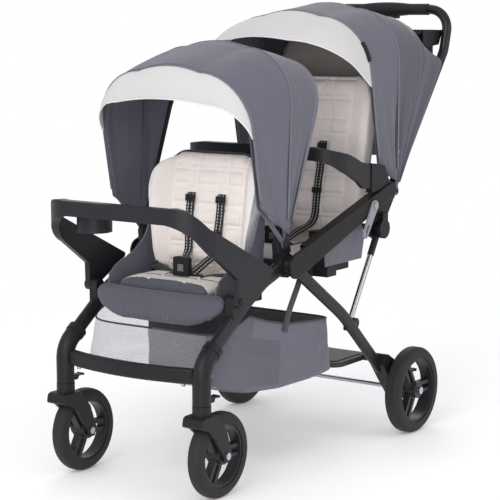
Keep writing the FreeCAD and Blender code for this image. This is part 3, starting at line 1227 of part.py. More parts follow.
# Storage latch on the near side rail
def make_latch():
    at = Vector(size["latch_inner"].value, back(size["latch_back"]).value, size["latch_height"].value)
    tip = Vector(at.x, back(size["latch_tip_back"]).value, size["latch_tip_height"].value)
    radius = size["latch_radius"].value
    direction = (tip - at).normalize()
    across = Vector(0, -direction.z, direction.y)
    thin = radius * 0.8
    wire = Part.Wire([
        Part.makeLine(at + across * radius, tip + across * thin),
        Part.Arc(tip + across * thin, tip + direction * thin, tip - across * thin).toShape(),
        Part.makeLine(tip - across * thin, at - across * radius),
        Part.Arc(at - across * radius, at - direction * radius, at + across * radius).toShape(),
    ])
    thickness = size["latch_thickness"].value
    plate = Part.Face(wire).extrude(Vector(thickness, 0, 0))
    slot_half = size["latch_slot_width"].value / 2
    slot_end = tip - direction * size["latch_slot_length"].value
    slot_wire = Part.Wire([
        Part.makeLine(slot_end + across * slot_half, tip + across * slot_half),
        Part.Arc(tip + across * slot_half, tip + direction * slot_half, tip - across * slot_half).toShape(),
        Part.makeLine(tip - across * slot_half, slot_end - across * slot_half),
        Part.Arc(slot_end - across * slot_half, slot_end - direction * slot_half,
                 slot_end + across * slot_half).toShape(),
    ])
    plate = plate.cut(Part.Face(slot_wire).extrude(Vector(thickness, 0, 0)))
    pin_radius = size["bow_pin_radius"].value
    hole = Part.makeCylinder(pin_radius + size["running_gap"].value, thickness, at, Vector(1, 0, 0))
    node("storage_latch", "Storage latch", solid("storage_latch_body", plate.cut(hole)))
    cap = size["cap_radius"]
    stem_length = size["latch_inner"] - size["skin_outer"] + size["latch_thickness"] + size["layer_gap"]
    stem = rod("latch_pin_stem", size["bow_pin_radius"], stem_length,
               (size["skin_outer"], back(size["latch_back"]), size["latch_height"]))
    head = rod("latch_pin_head", cap, size["cap_height"],
               (size["skin_outer"] + stem_length, back(size["latch_back"]), size["latch_height"]))
    return fuse("latch_pin_body", [stem, head])


latch_pin = make_latch()
frame_pins = doc.addObject("Part::Compound", "frame_pin_group")
frame_pins.Links = [hub_pins, crossbar_screws, latch_pin]
node("frame_pins", "Frame pins and screws", frame_pins)


# Trays: a bar bent round the front with side arms
def bent_band(name, half_width, front, deep, thin, corner, low, rise, table):
    centre_x = half_width - corner
    centre_y = front + corner
    sections = []
    for turn_share, low_share, high_share in table:
        angle = math.radians(quarter_turn * turn_share)
        thick = deep + (thin - deep) * turn_share
        way = Vector(math.sin(angle), -math.cos(angle), 0)
        outer = Vector(centre_x, centre_y, 0) + way * corner
        inner = Vector(centre_x, centre_y, 0) + way * (corner - thick)
        down = Vector(0, 0, low + rise * low_share)
        up = Vector(0, 0, low + rise * high_share)
        sections.append(Part.makePolygon([outer + down, outer + up, inner + up, inner + down,
                                          outer + down]))
    near = Part.makeLoft(sections, True, False)
    far = near.mirror(Vector(0, 0, 0), Vector(1, 0, 0))
    first = table[0]
    bar = Part.makeBox(centre_x * 2, deep, rise * (first[2] - first[1]),
                       Vector(-centre_x, front, low + rise * first[1]))
    return solid(name, bar.fuse([near, far]))


def make_front_tray():
    inner = size["front_tray_inner"]
    width = size["front_tray_outer"] - inner
    pivot = (back(size["front_tray_back"]), size["front_tray_height"])
    rise = size["front_band_low"] - size["front_tray_height"]
    corner_end = size["front_band_front"] + size["front_band_corner"] - size["front_tray_back"]
    points = [(corner_end, rise * FRONT_CORNER_SHARES[-1][1]),
              (corner_end, rise * FRONT_CORNER_SHARES[-1][2])]
    points = points + shares_outline(FRONT_ARM_SHARES, (zero, zero), (rise, rise))
    arm = prism("front_arm_plate", "YZ_Plane", points, width, (inner, pivot[0], pivot[1]),
                size["bow_pin_radius"] * 1.5, (2, 6))
    eye = rod("front_arm_eye", size["front_tray_lug_radius"], width, (inner, pivot[0], pivot[1]))
    arm_whole = fuse("front_arm_whole", [arm, eye])
    arm_far = mirrored("front_arm_far", arm_whole)
    band = bent_band("front_band", size["front_tray_outer"].value, back(size["front_band_front"]).value,
                     size["front_band_deep"].value,
                     width.value, size["front_band_corner"].value, size["front_tray_height"].value,
                     rise.value, FRONT_CORNER_SHARES)
    deep = size["front_band_deep"]
    plate_half = size["front_tray_outer"] - deep * 0.7
    front = back(size["front_band_front"]) + deep * 0.7
    depth = size["front_plate_depth"]
    plate_points = [(-plate_half, zero), (plate_half, zero), (plate_half, depth * 0.32),
                    (plate_half * 0.8, depth * 0.7),
                    (plate_half * 0.6, depth), (-plate_half * 0.6, depth), (-plate_half * 0.8, depth * 0.7),
                    (-plate_half, depth * 0.32)]
    plate = prism("front_tray_plate", "XY_Plane", plate_points, size["front_plate_thickness"],
                  (zero, front, size["front_plate_floor"]),
                  size["front_band_corner"] * 0.37, (0, 1))
    wall = size["cup_wall"]
    cup_at = (size["front_cup_side"], back(size["front_cup_back"]),
              size["front_plate_floor"] + size["front_plate_thickness"] - size["front_cup_depth"])
    cup = rod("front_cup", size["front_cup_radius"] + wall, size["front_cup_depth"], cup_at, "z")
    whole = fuse("front_tray_whole", [band, plate, arm_whole, arm_far, cup])
    room = rod("front_cup_room", size["front_cup_radius"], size["front_cup_depth"],
               (cup_at[0], cup_at[1], cup_at[2] + wall), "z")
    holes = [room]
    for sign, where in ((1, "near"), (-1, "far")):
        low_x = inner if sign > 0 else -(inner + width)
        holes.append(rod("front_arm_hole_" + where, size["pin_radius"] + size["running_gap"], width,
                         (low_x, pivot[0], pivot[1])))
    node("front_tray", "Front tray", cut("front_tray_body", whole, fuse("front_tray_tools", holes)))
    lug_low = front_side - size["leg_wide"] * half_share - size["fit_gap"]
    lug_width = inner - size["layer_gap"] - lug_low
    lug = rod("front_lug", size["front_tray_lug_radius"], lug_width, (lug_low, pivot[0], pivot[1]))
    foot = box("front_lug_foot", (lug_width, size["front_tray_lug_radius"] * 1.8, size["leg_tall"] * 1.1),
               (lug_low, pivot[0] - size["front_tray_lug_radius"] * 0.9, pivot[1] - size["leg_tall"] * 1.1))
    start, middle, shoulder, end = leg_points()
    gap = size["fit_gap"].value
    path_shape = oval_tube([start, middle, shoulder, end], size["leg_bend"].value,
                           size["leg_tall"].value + 2 * gap, size["leg_wide"].value + 2 * gap)
    leg_room = solid("front_lug_leg_room", path_shape)
    lug_body = cut("front_lug_shaped", fuse("front_lug_whole", [lug, foot]), leg_room)
    pin = rod("front_lug_pin", size["pin_radius"], width + lug_width * half_share,
              (inner - lug_width * half_share, pivot[0], pivot[1]))
    cap = rod("front_lug_cap", size["cap_radius"], size["cap_height"],
              (inner + width + size["running_gap"], pivot[0], pivot[1]))
    cap_stem = rod("front_lug_stem", size["pin_radius"] * 0.8, size["cap_height"],
                   (inner + width - size["cap_height"] * half_share, pivot[0], pivot[1]))
    return pair("tray_lug_pair", fuse("tray_lug_body", [lug_body, pin, cap, cap_stem]))


tray_lugs = make_front_tray()


def make_rear_tray():
    inner = size["rear_tray_inner"]
    width = size["rear_tray_outer"] - inner
    corner_end = size["rear_band_front"] + size["rear_band_corner"]
    span = size["rear_tray_seam"] - corner_end
    rise = size["rear_band_low"] + size["rear_band_tall"] - size["socket_low"]
    points = [(zero, rise * REAR_CORNER_SHARES[-1][1]), (zero, rise * REAR_CORNER_SHARES[-1][2])]
    points = points + shares_outline(REAR_ARM_SHARES, (zero, zero), (span, rise))
    arm = prism("rear_arm_plate", "YZ_Plane", points, width, (inner, back(corner_end), size["socket_low"]),
                size["bow_pin_radius"], (2, 3, 6, 7))
    eye = rod("rear_arm_eye", size["rear_tray_eye_radius"], width,
              (inner, back(size["rear_tray_pivot_back"]), size["rear_tray_pivot_height"]))
    link = box("rear_arm_link",
               (width, size["rear_tray_pivot_back"] - size["rear_tray_seam"] + span * 0.35,
                size["rear_tray_eye_radius"] * 1.6),
               (inner, back(size["rear_tray_seam"]) - span * 0.35,
                size["rear_tray_pivot_height"] - size["rear_tray_eye_radius"] * 0.8))
    arm_whole = fuse("rear_arm_whole", [arm, eye, link])
    arm_far = mirrored("rear_arm_far", arm_whole)
    band = bent_band("rear_band", size["rear_tray_outer"].value, back(size["rear_band_front"]).value,
                     size["rear_band_deep"].value,
                     width.value, size["rear_band_corner"].value, size["socket_low"].value, rise.value,
                     REAR_CORNER_SHARES)
    whole = fuse("rear_tray_whole", [band, arm_whole, arm_far])
    holes = []
    for sign, where in ((1, "near"), (-1, "far")):
        low_x = inner if sign > 0 else -(inner + width)
        holes.append(rod("rear_arm_hole_" + where, size["bow_pin_radius"] + size["running_gap"], width,
                         (low_x, back(size["rear_tray_pivot_back"]), size["rear_tray_pivot_height"])))
    node("rear_tray", "Rear tray", cut("rear_tray_body", whole, fuse("rear_tray_tools", holes)))
    socket_points = shares_outline(SOCKET_SHARES, (zero, zero), (size["socket_span"], size["socket_rise"]))
    shell_wall = size["strut_lug_wall"]
    socket_inner = inner - shell_wall
    socket_width = size["socket_outer"] - socket_inner
    shell = prism("socket_shell", "YZ_Plane", socket_points, socket_width,
                  (socket_inner, back(size["rear_tray_seam"]), size["socket_low"]),
                  size["bow_pin_radius"], (2, 3))
    room_low = inner - size["layer_gap"]
    room_width = width + size["layer_gap"] * 2.0
    eye_room = rod("socket_eye_room", size["rear_tray_eye_radius"] * 1.6, room_width,
                   (room_low, back(size["rear_tray_pivot_back"]), size["rear_tray_pivot_height"]))
    front_room = box("socket_front_room",
                     (room_width, size["rear_tray_pivot_back"] - size["rear_tray_seam"]
                      + size["rear_tray_eye_radius"],
                                           size["socket_rise"]),
                     (room_low, back(size["rear_tray_seam"]) - size["rear_tray_eye_radius"],
                      size["rear_tray_pivot_height"] - size["rear_tray_eye_radius"] * 1.3))
    shaped = cut("socket_shaped", shell, fuse("socket_rooms", [eye_room, front_room]))
    doc.recompute()
    rail = NODES["side_rails"].Links[0]
    trimmed = cut("socket_trimmed", shaped, rail)
    pin = rod("socket_pin", size["bow_pin_radius"], socket_width,
              (socket_inner, back(size["rear_tray_pivot_back"]), size["rear_tray_pivot_height"]))
    return pair("tray_socket_pair", fuse("tray_socket_body", [trimmed, pin]))


tray_sockets = make_rear_tray()
tray_fittings = doc.addObject("Part::Compound", "tray_fitting_group")
tray_fittings.Links = [tray_lugs, tray_sockets]
node("tray_fittings", "Tray lugs and sockets", tray_fittings)


# Cushions: the rims are drawn in and the tops are crowned
def cushion(half_width, front, depth, low, height, crown, channel):
    sections = []
    for share, inset in zip((0.0, 0.12, 0.5, 0.88, 1.0), (0.30, 0.05, 0.0, 0.05, 0.30)):
        y = front + depth * share
        w = half_width - height * inset
        rise = height * (1 - inset * 0.9)
        lift = crown * (1 - inset * 2.5)
        p = [Vector(-w, y, low), Vector(w, y, low), Vector(w, y, low + rise * 0.7),
             Vector(channel, y, low + rise),
             Vector(-channel, y, low + rise), Vector(-w, y, low + rise * 0.7)]
        edges = [
            Part.makeLine(p[0], p[1]), Part.makeLine(p[1], p[2]),
            Part.Arc(p[2], Vector((w + channel) / 2, y, low + rise + lift), p[3]).toShape(),
            Part.Arc(p[3], Vector(0, y, low + rise + lift), p[4]).toShape(),
            Part.Arc(p[4], Vector(-(w + channel) / 2, y, low + rise + lift), p[5]).toShape(),
            Part.makeLine(p[5], p[0]),
        ]
        sections.append(Part.Wire(edges))
    return Part.makeLoft(sections, True, True)


def make_front_seat():
    w = size["seat_half_width"]
    front = back(size["seat_front"])
    depth = size["seat_depth"]
    points = [(-w, zero), (w, zero), (w, depth), (-w, depth)]
    pan = prism("front_pan_board", "XY_Plane", points, size["seat_pan_height"],
                (zero, front, size["seat_floor"]), size["pan_corner"])
    brackets = []
    reach = front_side - size["leg_wide"] * half_share - size["fit_gap"]
    for sign, where in ((1, "near"), (-1, "far")):
        low_x = w - size["pan_corner"] if sign > 0 else -reach
        extent = (reach - w + size["pan_corner"], size["seat_bracket_length"], size["seat_bracket_height"])
        brackets.append(box("front_pan_bracket_" + where, extent,
                            (low_x, back(size["leg_middle_back"])
                             - size["seat_bracket_length"] * half_share, size["seat_floor"])))
    bosses = []
    pivot = (back(size["back_foot_back"]), size["back_foot_height"])
    boss_wall = size["strut_lug_wall"] * 2.0
    for sign, where in ((1, "near"), (-1, "far")):
        low_x = w - boss_wall if sign > 0 else -w
        bosses.append(rod("front_recline_boss_" + where, size["recline_boss_radius"], boss_wall,
                          (low_x, pivot[0], pivot[1])))
        rise = pivot[1] - size["seat_floor"]
        bosses.append(box("front_recline_post_" + where, (boss_wall, size["recline_boss_radius"] * 2, rise),
                          (low_x, pivot[0] - size["recline_boss_radius"], size["seat_floor"])))
        bar_low = w - boss_wall * 2.0 - size["layer_gap"] if sign > 0 else -w
        bosses.append(rod("front_recline_pin_" + where, size["recline_pin_radius"],
                          boss_wall * 2.0 + size["layer_gap"],
                          (bar_low, pivot[0], pivot[1])))
    node("front_seat_pan", "Front seat pan", fuse("front_seat_pan_body", [pan] + brackets + bosses))
    height = size["seat_pad_height"].value
    inset = size["pan_corner"].value * 0.3
    pad = cushion(w.value - inset - boss_wall.value * 2, front.value + inset,
                  depth.value - inset * 2 - size["recline_boss_radius"].value * 2,
                  size["seat_floor"].value + size["seat_pan_height"].value, height, size["pad_crown"].value,
                  w.value * 0.35)
    node("front_seat_pad", "Front seat pad", solid("front_seat_pad_body", pad))
    top = Vector(0, back(size["calf_top_back"]).value, size["calf_top_height"].value)
    low = Vector(0, back(size["calf_low_back"]).value, size["calf_low_height"].value)
    direction = (low - top).normalize()
    out = Vector(0, direction.z, -direction.y)
    thickness = size["calf_thickness"].value
    cw = size["calf_half_width"].value
    length = (low - top).Length
    sections = []
    for share, thin in zip((0.0, 0.15, 0.85, 1.0), (0.55, 0.95, 1.0, 0.6)):
        at = top + direction * length * share
        t = thickness * thin
        half_wide = cw - (1 - thin) * thickness
        a = at + Vector(-half_wide, 0, 0)
        b = at + Vector(half_wide, 0, 0)
        c = b + out * t * 0.6
        d = a + out * t * 0.6
        edges = [Part.makeLine(a, b), Part.makeLine(b, c), Part.Arc(c, at + out * t, d).toShape(),
                 Part.makeLine(d, a)]
        sections.append(Part.Wire(edges))
    calf = Part.makeLoft(sections, True, True)
    lean_gap = size["layer_gap"].value
    overrun = size["cut_overrun"].value
    pan_room = Part.makeBox(w.value * 2 + overrun, depth.value, size["seat_pan_height"].value + height * 2,
                            Vector(-w.value - overrun / 2, front.value - lean_gap,
                                   size["seat_floor"].value - lean_gap))
    node("calf_rest", "Calf rest pad", solid("calf_rest_body", calf.cut(pan_room)))


make_front_seat()


def make_backrest(name, label, pivot_back, pivot_height, lean, length, half_width, wing_size, start_share,
                  with_eye):
    # Three quilted bands between two grooves, on a flat board, leaning about the foot
    angle = math.radians(lean.value)
    up = Vector(0, math.cos(angle), math.sin(angle))
    out = Vector(0, -math.sin(angle), math.cos(angle))
    foot = Vector(0, back(pivot_back).value, pivot_height.value)
    sections = []
    board = size["back_thickness"].value * 0.5
    groove = size["quilt_groove"].value
    groove_half = size["quilt_groove_half"].value
    band = size["quilt_band_half"].value
    wing = wing_size.value
    for share, wide, thick in BACK_SECTION_SHARES:
        at = foot + up * length.value * (start_share + (1 - start_share) * share)
        w = half_width.value * wide
        t = board * thick
        crown = t * 0.9

        def spot(x, depth):
            return at + Vector(x, 0, 0) + out * depth
        wing_in = w - size["wing_wall"].value * wide
        line = [
            (-w, -board), (w, -board), (w, wing * thick * 0.7), (wing_in, wing * thick * 0.7),
            (wing_in - groove_half, t - groove), (band + groove_half, t - groove),
            (band - groove_half, t - groove),
            (-band + groove_half, t - groove), (-band - groove_half, t - groove),
            (-wing_in + groove_half, t - groove),
            (-wing_in, wing * thick * 0.7), (-w, wing * thick * 0.7),
        ]
        arcs = {2: wing * thick, 4: t + crown * half_share, 6: t + crown, 8: t + crown * half_share,
                10: wing * thick}
        edges = []
        for i in range(len(line)):
            a = line[i]
            b = line[(i + 1) % len(line)]
            if i in arcs:
                middle = spot((a[0] + b[0]) / 2, arcs[i])
                edges.append(Part.Arc(spot(*a), middle, spot(*b)).toShape())
            else:
                edges.append(Part.makeLine(spot(*a), spot(*b)))
        sections.append(Part.Wire(edges))
    pad = Part.makeLoft(sections, True, True)
    if with_eye:
        eye_wall = size["strut_lug_wall"].value * 2
        boss = size["recline_boss_radius"].value
        outer = size["seat_half_width"].value - eye_wall - size["layer_gap"].value
        for sign in (-1, 1):
            low_x = outer - eye_wall if sign > 0 else -outer
            eye = Part.makeCylinder(boss, eye_wall, Vector(low_x, foot.y, foot.z), Vector(1, 0, 0))
            post = Part.makeCylinder(boss * 0.45, boss * 3, Vector(low_x + eye_wall / 2, foot.y, foot.z),
                                     up)
            post = post.common(Part.makeBox(eye_wall, boss * 10, boss * 10,
                                            Vector(low_x, foot.y - boss * 5, foot.z - boss * 5)))
            hole = Part.makeCylinder(size["recline_pin_radius"].value + size["running_gap"].value,
                                     eye_wall * 3,
                                     Vector(low_x - eye_wall, foot.y, foot.z), Vector(1, 0, 0))
            pad = pad.fuse([eye, post]).cut(hole)
        pad = pad.removeSplitter()
    else:
        bar = size["recline_boss_radius"].value * 0.7
        reach = size["clevis_inner"].value
        middle = foot + up * (size["recline_boss_radius"].value * 2.5) - out * board
        pad = pad.fuse(Part.makeCylinder(bar, reach * 2, middle - Vector(reach, 0, 0),
                                         Vector(1, 0, 0))).removeSplitter()
    node(name, label, solid(name + "_body", pad))
    return foot, up, out, board


front_back_frame = make_backrest("front_backrest", "Front backrest pad", size["back_foot_back"],
                                 size["back_foot_height"],
                                 size["back_lean_angle"], size["back_length"], size["back_half_width"],
                                 size["front_wing_depth"], 0.08, True)


def make_rear_seat():
    w = size["rear_seat_half_width"]
    front = back(size["rear_seat_front"])
    depth = size["rear_seat_depth"]
    points = [(-w, zero), (w, zero), (w, depth), (-w, depth)]
    pan = prism("rear_pan_board", "XY_Plane", points, size["seat_pan_height"],
                (zero, front, size["rear_seat_floor"]), size["pan_corner"])
    brackets = []
    reach = size["rail_inner"] - size["fit_gap"]
    direction_rise = (size["rail_joint_height"]
                      - size["hub_height"]) / (size["rail_joint_back"] - size["hub_back"])
    rail_low = size["hub_height"] + direction_rise * (size["rear_seat_front"] - size["hub_back"]
                                                      + size["seat_bracket_length"] * half_share)
    for sign, where in ((1, "near"), (-1, "far")):
        low_x = w - size["pan_corner"] if sign > 0 else -reach
        extent = (reach - w + size["pan_corner"], size["seat_bracket_length"],
                  rail_low - size["rear_seat_floor"])
        at = (low_x, front + size["pan_corner"], size["rear_seat_floor"])
        brackets.append(box("rear_pan_bracket_" + where, extent, at))
    node("rear_seat_pan", "Rear seat pan", fuse("rear_seat_pan_body", [pan] + brackets))
    inset = size["pan_corner"].value
    pad = cushion(w.value - inset * 1.2, front.value + inset * 0.3, depth.value - inset * 0.6,
                  size["rear_seat_floor"].value + size["seat_pan_height"].value,
                  size["seat_pad_height"].value,
                  size["pad_crown"].value, w.value * 0.35)
    node("rear_seat_pad", "Rear seat pad", solid("rear_seat_pad_body", pad))


make_rear_seat()
rear_back_frame = make_backrest("rear_backrest", "Rear backrest pad", size["rear_back_foot_back"],
                                size["rear_back_foot_height"],
                                size["rear_back_lean_angle"], size["rear_back_length"],
                                size["rear_back_half_width"], size["wing_depth"], 0.0, False)


# Side cloths beside the seats
def make_side_cloth(name, table, front, depth, floor, rise, inner):
    points = shares_outline(table, (zero, zero), (depth, rise))
    whole = prism(name + "_whole", "YZ_Plane", points, size["cloth_thickness"], (inner, front, floor))
    near = cut(name + "_near", whole, NODES["rear_seat_pan"])
    return pair(name + "_pair", near)


front_sides = make_side_cloth("front_seat_sides", FRONT_SIDE_SHARES, back(size["seat_front"]),
                              size["seat_depth"] * 1.16,
                size["seat_floor"] + size["seat_pan_height"], size["back_length"],
                size["seat_half_width"] + size["layer_gap"])
rear_sides = make_side_cloth("rear_seat_sides", REAR_SIDE_SHARES, back(size["rear_seat_front"]),
                             size["rear_seat_depth"],
                size["rear_seat_floor"], size["rear_back_length"] * 0.62,
                size["rail_inner"] - size["cloth_thickness"] - size["layer_gap"])
seat_sides = doc.addObject("Part::Compound", "seat_side_group")
seat_sides.Links = [front_sides, rear_sides]
node("seat_side_cloths", "Seat side cloths", seat_sides)


# Harness straps, buckles and buttons
def strap_between(a, b, out, width, thickness):
    direction = (b - a).normalize()
    across = direction.cross(out).normalize()
    base = [a - across * width / 2, a + across * width / 2, b + across * width / 2, b - across * width / 2]
    return Part.Face(Part.makePolygon(base + [base[0]])).extrude(out * thickness)


def make_harness(frame, length, buckle_at):
    foot, up, out = frame[:3]
    t = size["back_thickness"].value * half_share
    width = size["strap_width"].value
    groove = size["quilt_groove"].value
    inner_edge = size["strap_spread"].value * 0.9 - width / 2
    band_edge = size["quilt_band_half"].value - size["quilt_groove_half"].value
    surface = t - groove + (t * 0.9 + groove) * (1
                                                 - (inner_edge / band_edge) ** 2) + size["layer_gap"].value
    thickness = size["strap_thickness"].value
    spread = size["strap_spread"].value
    shapes = []
    top_share = size["strap_top_share"].value
    for sign in (-1, 1):
        high = foot + up * length.value * top_share + Vector(sign * spread, 0, 0) + out * surface
        low = Vector(sign * spread * 0.6, buckle_at.y + size["buckle_depth"].value * 1.2, buckle_at.z)
        bend = foot + up * (low.z - foot.z + size["buckle_height"].value) + Vector(sign * spread * 0.9, 0,
                                                                                   0) + out * surface
        shapes.append(strap_between(high, bend, out, width, thickness))
        shapes.append(strap_between(bend, low, out, width, thickness))
    whole = shapes[0].fuse(shapes[1:]).removeSplitter()
    return whole


doc.recompute()

# Canopies: bows, cloth and visors
def arch_points(plane_foot, plane_up, start, reach, half_width, corner, crown):
    # Points of an arch from the near foot over the top to the far foot
    side_top = reach - crown - corner
    k = math.sqrt(half_share)
    a = plane_foot + plane_up * start + Vector(half_width, 0, 0)
    b = plane_foot + plane_up * side_top + Vector(half_width, 0, 0)
    c = plane_foot + plane_up * (side_top + corner * k) + Vector(half_width - corner + corner * k, 0, 0)
    d = plane_foot + plane_up * (side_top + corner) + Vector(half_width - corner, 0, 0)
    e = plane_foot + plane_up * reach
    return a, b, c, d, e


def arch_section(plane_foot, plane_up, start, reach, half_width, corner, crown, thickness):
    outer = arch_points(plane_foot, plane_up, start, reach, half_width, corner, crown)
    inner = arch_points(plane_foot, plane_up, start, reach - thickness, half_width - thickness,
                        corner - thickness, crown)

    def flip(p):
        return Vector(-p.x, p.y, p.z)
    a, b, c, d, e = outer
    p, q, r, s, t = inner
    edges = [
        Part.makeLine(a, b), Part.Arc(b, c, d).toShape(), Part.Arc(d, e, flip(d)).toShape(),
        Part.Arc(flip(d), flip(c), flip(b)).toShape(), Part.makeLine(flip(b), flip(a)),
        Part.makeLine(flip(a), flip(p)), Part.makeLine(flip(p), flip(q)),
        Part.Arc(flip(q), flip(r), flip(s)).toShape(),
        Part.Arc(flip(s), t, s).toShape(), Part.Arc(s, r, q).toShape(), Part.makeLine(q, p),
        Part.makeLine(p, a),
    ]
    return Part.Wire(edges)


def plane_through(pivot, angle):
    turned_by = math.radians(angle.value)
    return Vector(0, pivot.y, pivot.z), Vector(0, math.cos(turned_by), math.sin(turned_by))


def bow_shape(plane_foot, plane_up, start, reach, half_width, corner, crown, width, thickness):
    face = Part.Face(arch_section(plane_foot, plane_up, start, reach, half_width, corner, crown, thickness))
    normal = Vector(0, -plane_up.z, plane_up.y)
    face.translate(normal * (-width / 2))
    return face.extrude(normal * width)


def bow_eyes(shape, pivot, inner, thickness, radius, hole):
    for sign in (-1, 1):
        low_x = inner if sign > 0 else -inner - thickness
        eye = Part.makeCylinder(radius, thickness, Vector(low_x, pivot.y, pivot.z), Vector(1, 0, 0))
        shape = shape.fuse(eye)
    for sign in (-1, 1):
        low_x = inner if sign > 0 else -inner - thickness
        room = Part.makeCylinder(hole, thickness * 3, Vector(low_x - thickness, pivot.y, pivot.z),
                                 Vector(1, 0, 0))
        shape = shape.cut(room)
    return shape


def kinked_foot(pivot, knee, inner, thickness, width):
    shapes = []
    for sign in (-1, 1):
        low_x = inner if sign > 0 else -inner - thickness
        direction = (knee - pivot).normalize()
        across = Vector(0, -direction.z, direction.y)
        a = Vector(low_x, pivot.y, pivot.z)
        b = Vector(low_x, knee.y, knee.z)
        ring = [a + across * width / 2, b + across * width / 2, b - across * width / 2,
                a - across * width / 2]
        bar = Part.Face(Part.makePolygon(ring + [ring[0]])).extrude(Vector(thickness, 0, 0))
        shapes.append(bar.fuse(Part.makeCylinder(width / 2, thickness, b, Vector(1, 0, 0))))
    return shapes


def make_canopy(pivot, half_width, reach, angles, knee, top, layers):
    cloth = size["cloth_thickness"].value
    gap = size["layer_gap"].value
    bow_t = size["bow_thickness"].value
    bow_w = size["bow_width"].value
    corner = size["canopy_corner"].value
    crown = size["canopy_crown"].value
    start = size["canopy_foot_start"].value
    outer = half_width.value
    eye = size["bow_eye_radius"].value
    hole = size["bow_pin_radius"].value + size["running_gap"].value
    inside = outer - gap
    front_up = (top - knee).normalize()
    front_reach = (top - knee).Length
    cloth_outer = outer + cloth
    sections = []
    for angle in angles:
        foot, up = plane_through(pivot, angle)
        sections.append(arch_section(foot, up, start, reach.value + cloth, cloth_outer, corner, crown,
                                     cloth))
    ahead = Vector(0, -front_up.z, front_up.y) * (bow_w / 2)
    sections.append(arch_section(knee + ahead, front_up, 0.0, front_reach + cloth, cloth_outer, corner,
                                 crown, cloth))
    hood = Part.makeLoft(sections, True, True)
    bows = []
    for k, angle in enumerate(angles):
        foot, up = plane_through(pivot, angle)
        layer = inside - layers[k] * (bow_t + gap) - bow_t
        bow = bow_shape(foot, up, eye * half_share, reach.value - bow_t, layer + bow_t, corner - gap, crown,
                        bow_w, bow_t)
        bows.append(bow_eyes(bow, pivot, layer, bow_t, eye, hole))
    layer = inside - layers[len(angles)] * (bow_t + gap) - bow_t
    front_bow = bow_shape(knee, front_up, 0.0, front_reach - bow_t, layer + bow_t, corner - gap, crown,
                          bow_w, bow_t)
    front_bow = front_bow.fuse(kinked_foot(pivot, knee, layer, bow_t, bow_w))
    bows.append(bow_eyes(front_bow, pivot, layer, bow_t, eye, hole))
    return hood, bows, front_up


def make_front_canopy():
    pivot = Vector(0, back(size["front_hood_back"]).value, size["front_hood_height"].value)
    knee = Vector(0, back(size["front_bow_knee_back"]).value, size["front_bow_knee_height"].value)
    top = Vector(0, back(size["front_bow_top_back"]).value, size["front_bow_top_height"].value)
    hood, bows, up = make_canopy(pivot, size["canopy_half_width"], size["front_hood_reach"],
                                 (size["front_hood_rear_angle"], size["front_hood_middle_angle"]), knee,
                                 top, (0, 1, 2))
    return hood, bows, up


front_knee = Vector(0, back(size["front_bow_knee_back"]).value, size["front_bow_knee_height"].value)
front_top = Vector(0, back(size["front_bow_top_back"]).value, size["front_bow_top_height"].value)
rear_pivot = Vector(0, back(size["rear_hood_back"]).value, size["rear_hood_height"].value)
rear_knee = Vector(0, back(size["rear_bow_knee_back"]).value, size["rear_bow_knee_height"].value)
rear_top = Vector(0, back(size["rear_bow_top_back"]).value, size["rear_bow_top_height"].value)


def spot_of(back_name, height_name):
    return Vector(0, back(size[back_name]).value, size[height_name].value)


hood_front, bows_front, front_up = make_front_canopy()


def crescent(base, seam_up, seam_reach, lip_up, lip_reach, half_width):
    # A shell between two arches that share their two end lines, given a wall towards the inside
    cloth = size["cloth_thickness"].value
    crown = size["canopy_crown"].value
    corner = size["canopy_corner"].value
    seam_corner = min(corner, seam_reach - crown - cloth)
    lip_corner = min(corner, lip_reach - crown - cloth)
    wall = cloth
    seam = arch_section(base, seam_up, 0.0, seam_reach, half_width, seam_corner, crown, wall)
    lip = arch_section(base, lip_up, 0.0, lip_reach, half_width, lip_corner, crown, wall)
    step = Vector(0, seam_up.y, seam_up.z).cross(Vector(1, 0, 0))
    forward = Vector(0, -abs(step.y), -abs(step.z) * 0.0)
    lip_wire = lip.copy()
    lip_wire.translate(forward.normalize() * cloth)
    return Part.makeLoft([seam, lip_wire], True, True)


def make_front_visor():
    cloth = size["cloth_thickness"].value
    up = (front_top - front_knee).normalize()
    end = spot_of("front_visor_end_back", "front_visor_end_height")
    lip = spot_of("front_visor_lip_back", "front_visor_lip_height")
    start = (end - front_knee).dot(up)
    base = front_knee + up * start
    ahead = Vector(0, -up.z, up.y) * (size["bow_width"].value / 2 + size["layer_gap"].value)
    base = base + ahead
    seam_reach = (front_top - front_knee).Length + cloth - start
    lip_up = (lip - base).normalize()
    return crescent(base, up, seam_reach, lip_up, (lip - base).Length,
                    size["canopy_half_width"].value + cloth)


node("front_canopy_cloth", "Front canopy cloth", solid("front_canopy_cloth_body", hood_front))
rear_bow = solid("front_rear_bow_body", bows_front[0])
housing_group = doc.addObject("Part::Compound", "hub_housing_group")
housing_group.Links = [hub_housings, canopy_mounts, rear_bow]
node("hub_housings", "Hub housings with canopy mounts", housing_group)
node("front_canopy_middle_bow", "Front canopy middle bow", solid("front_middle_bow_body", bows_front[1]))
node("front_canopy_front_bow", "Front canopy front bow", solid("front_front_bow_body", bows_front[2]))
node("front_canopy_visor", "Front canopy visor", solid("front_canopy_visor_body", make_front_visor()))


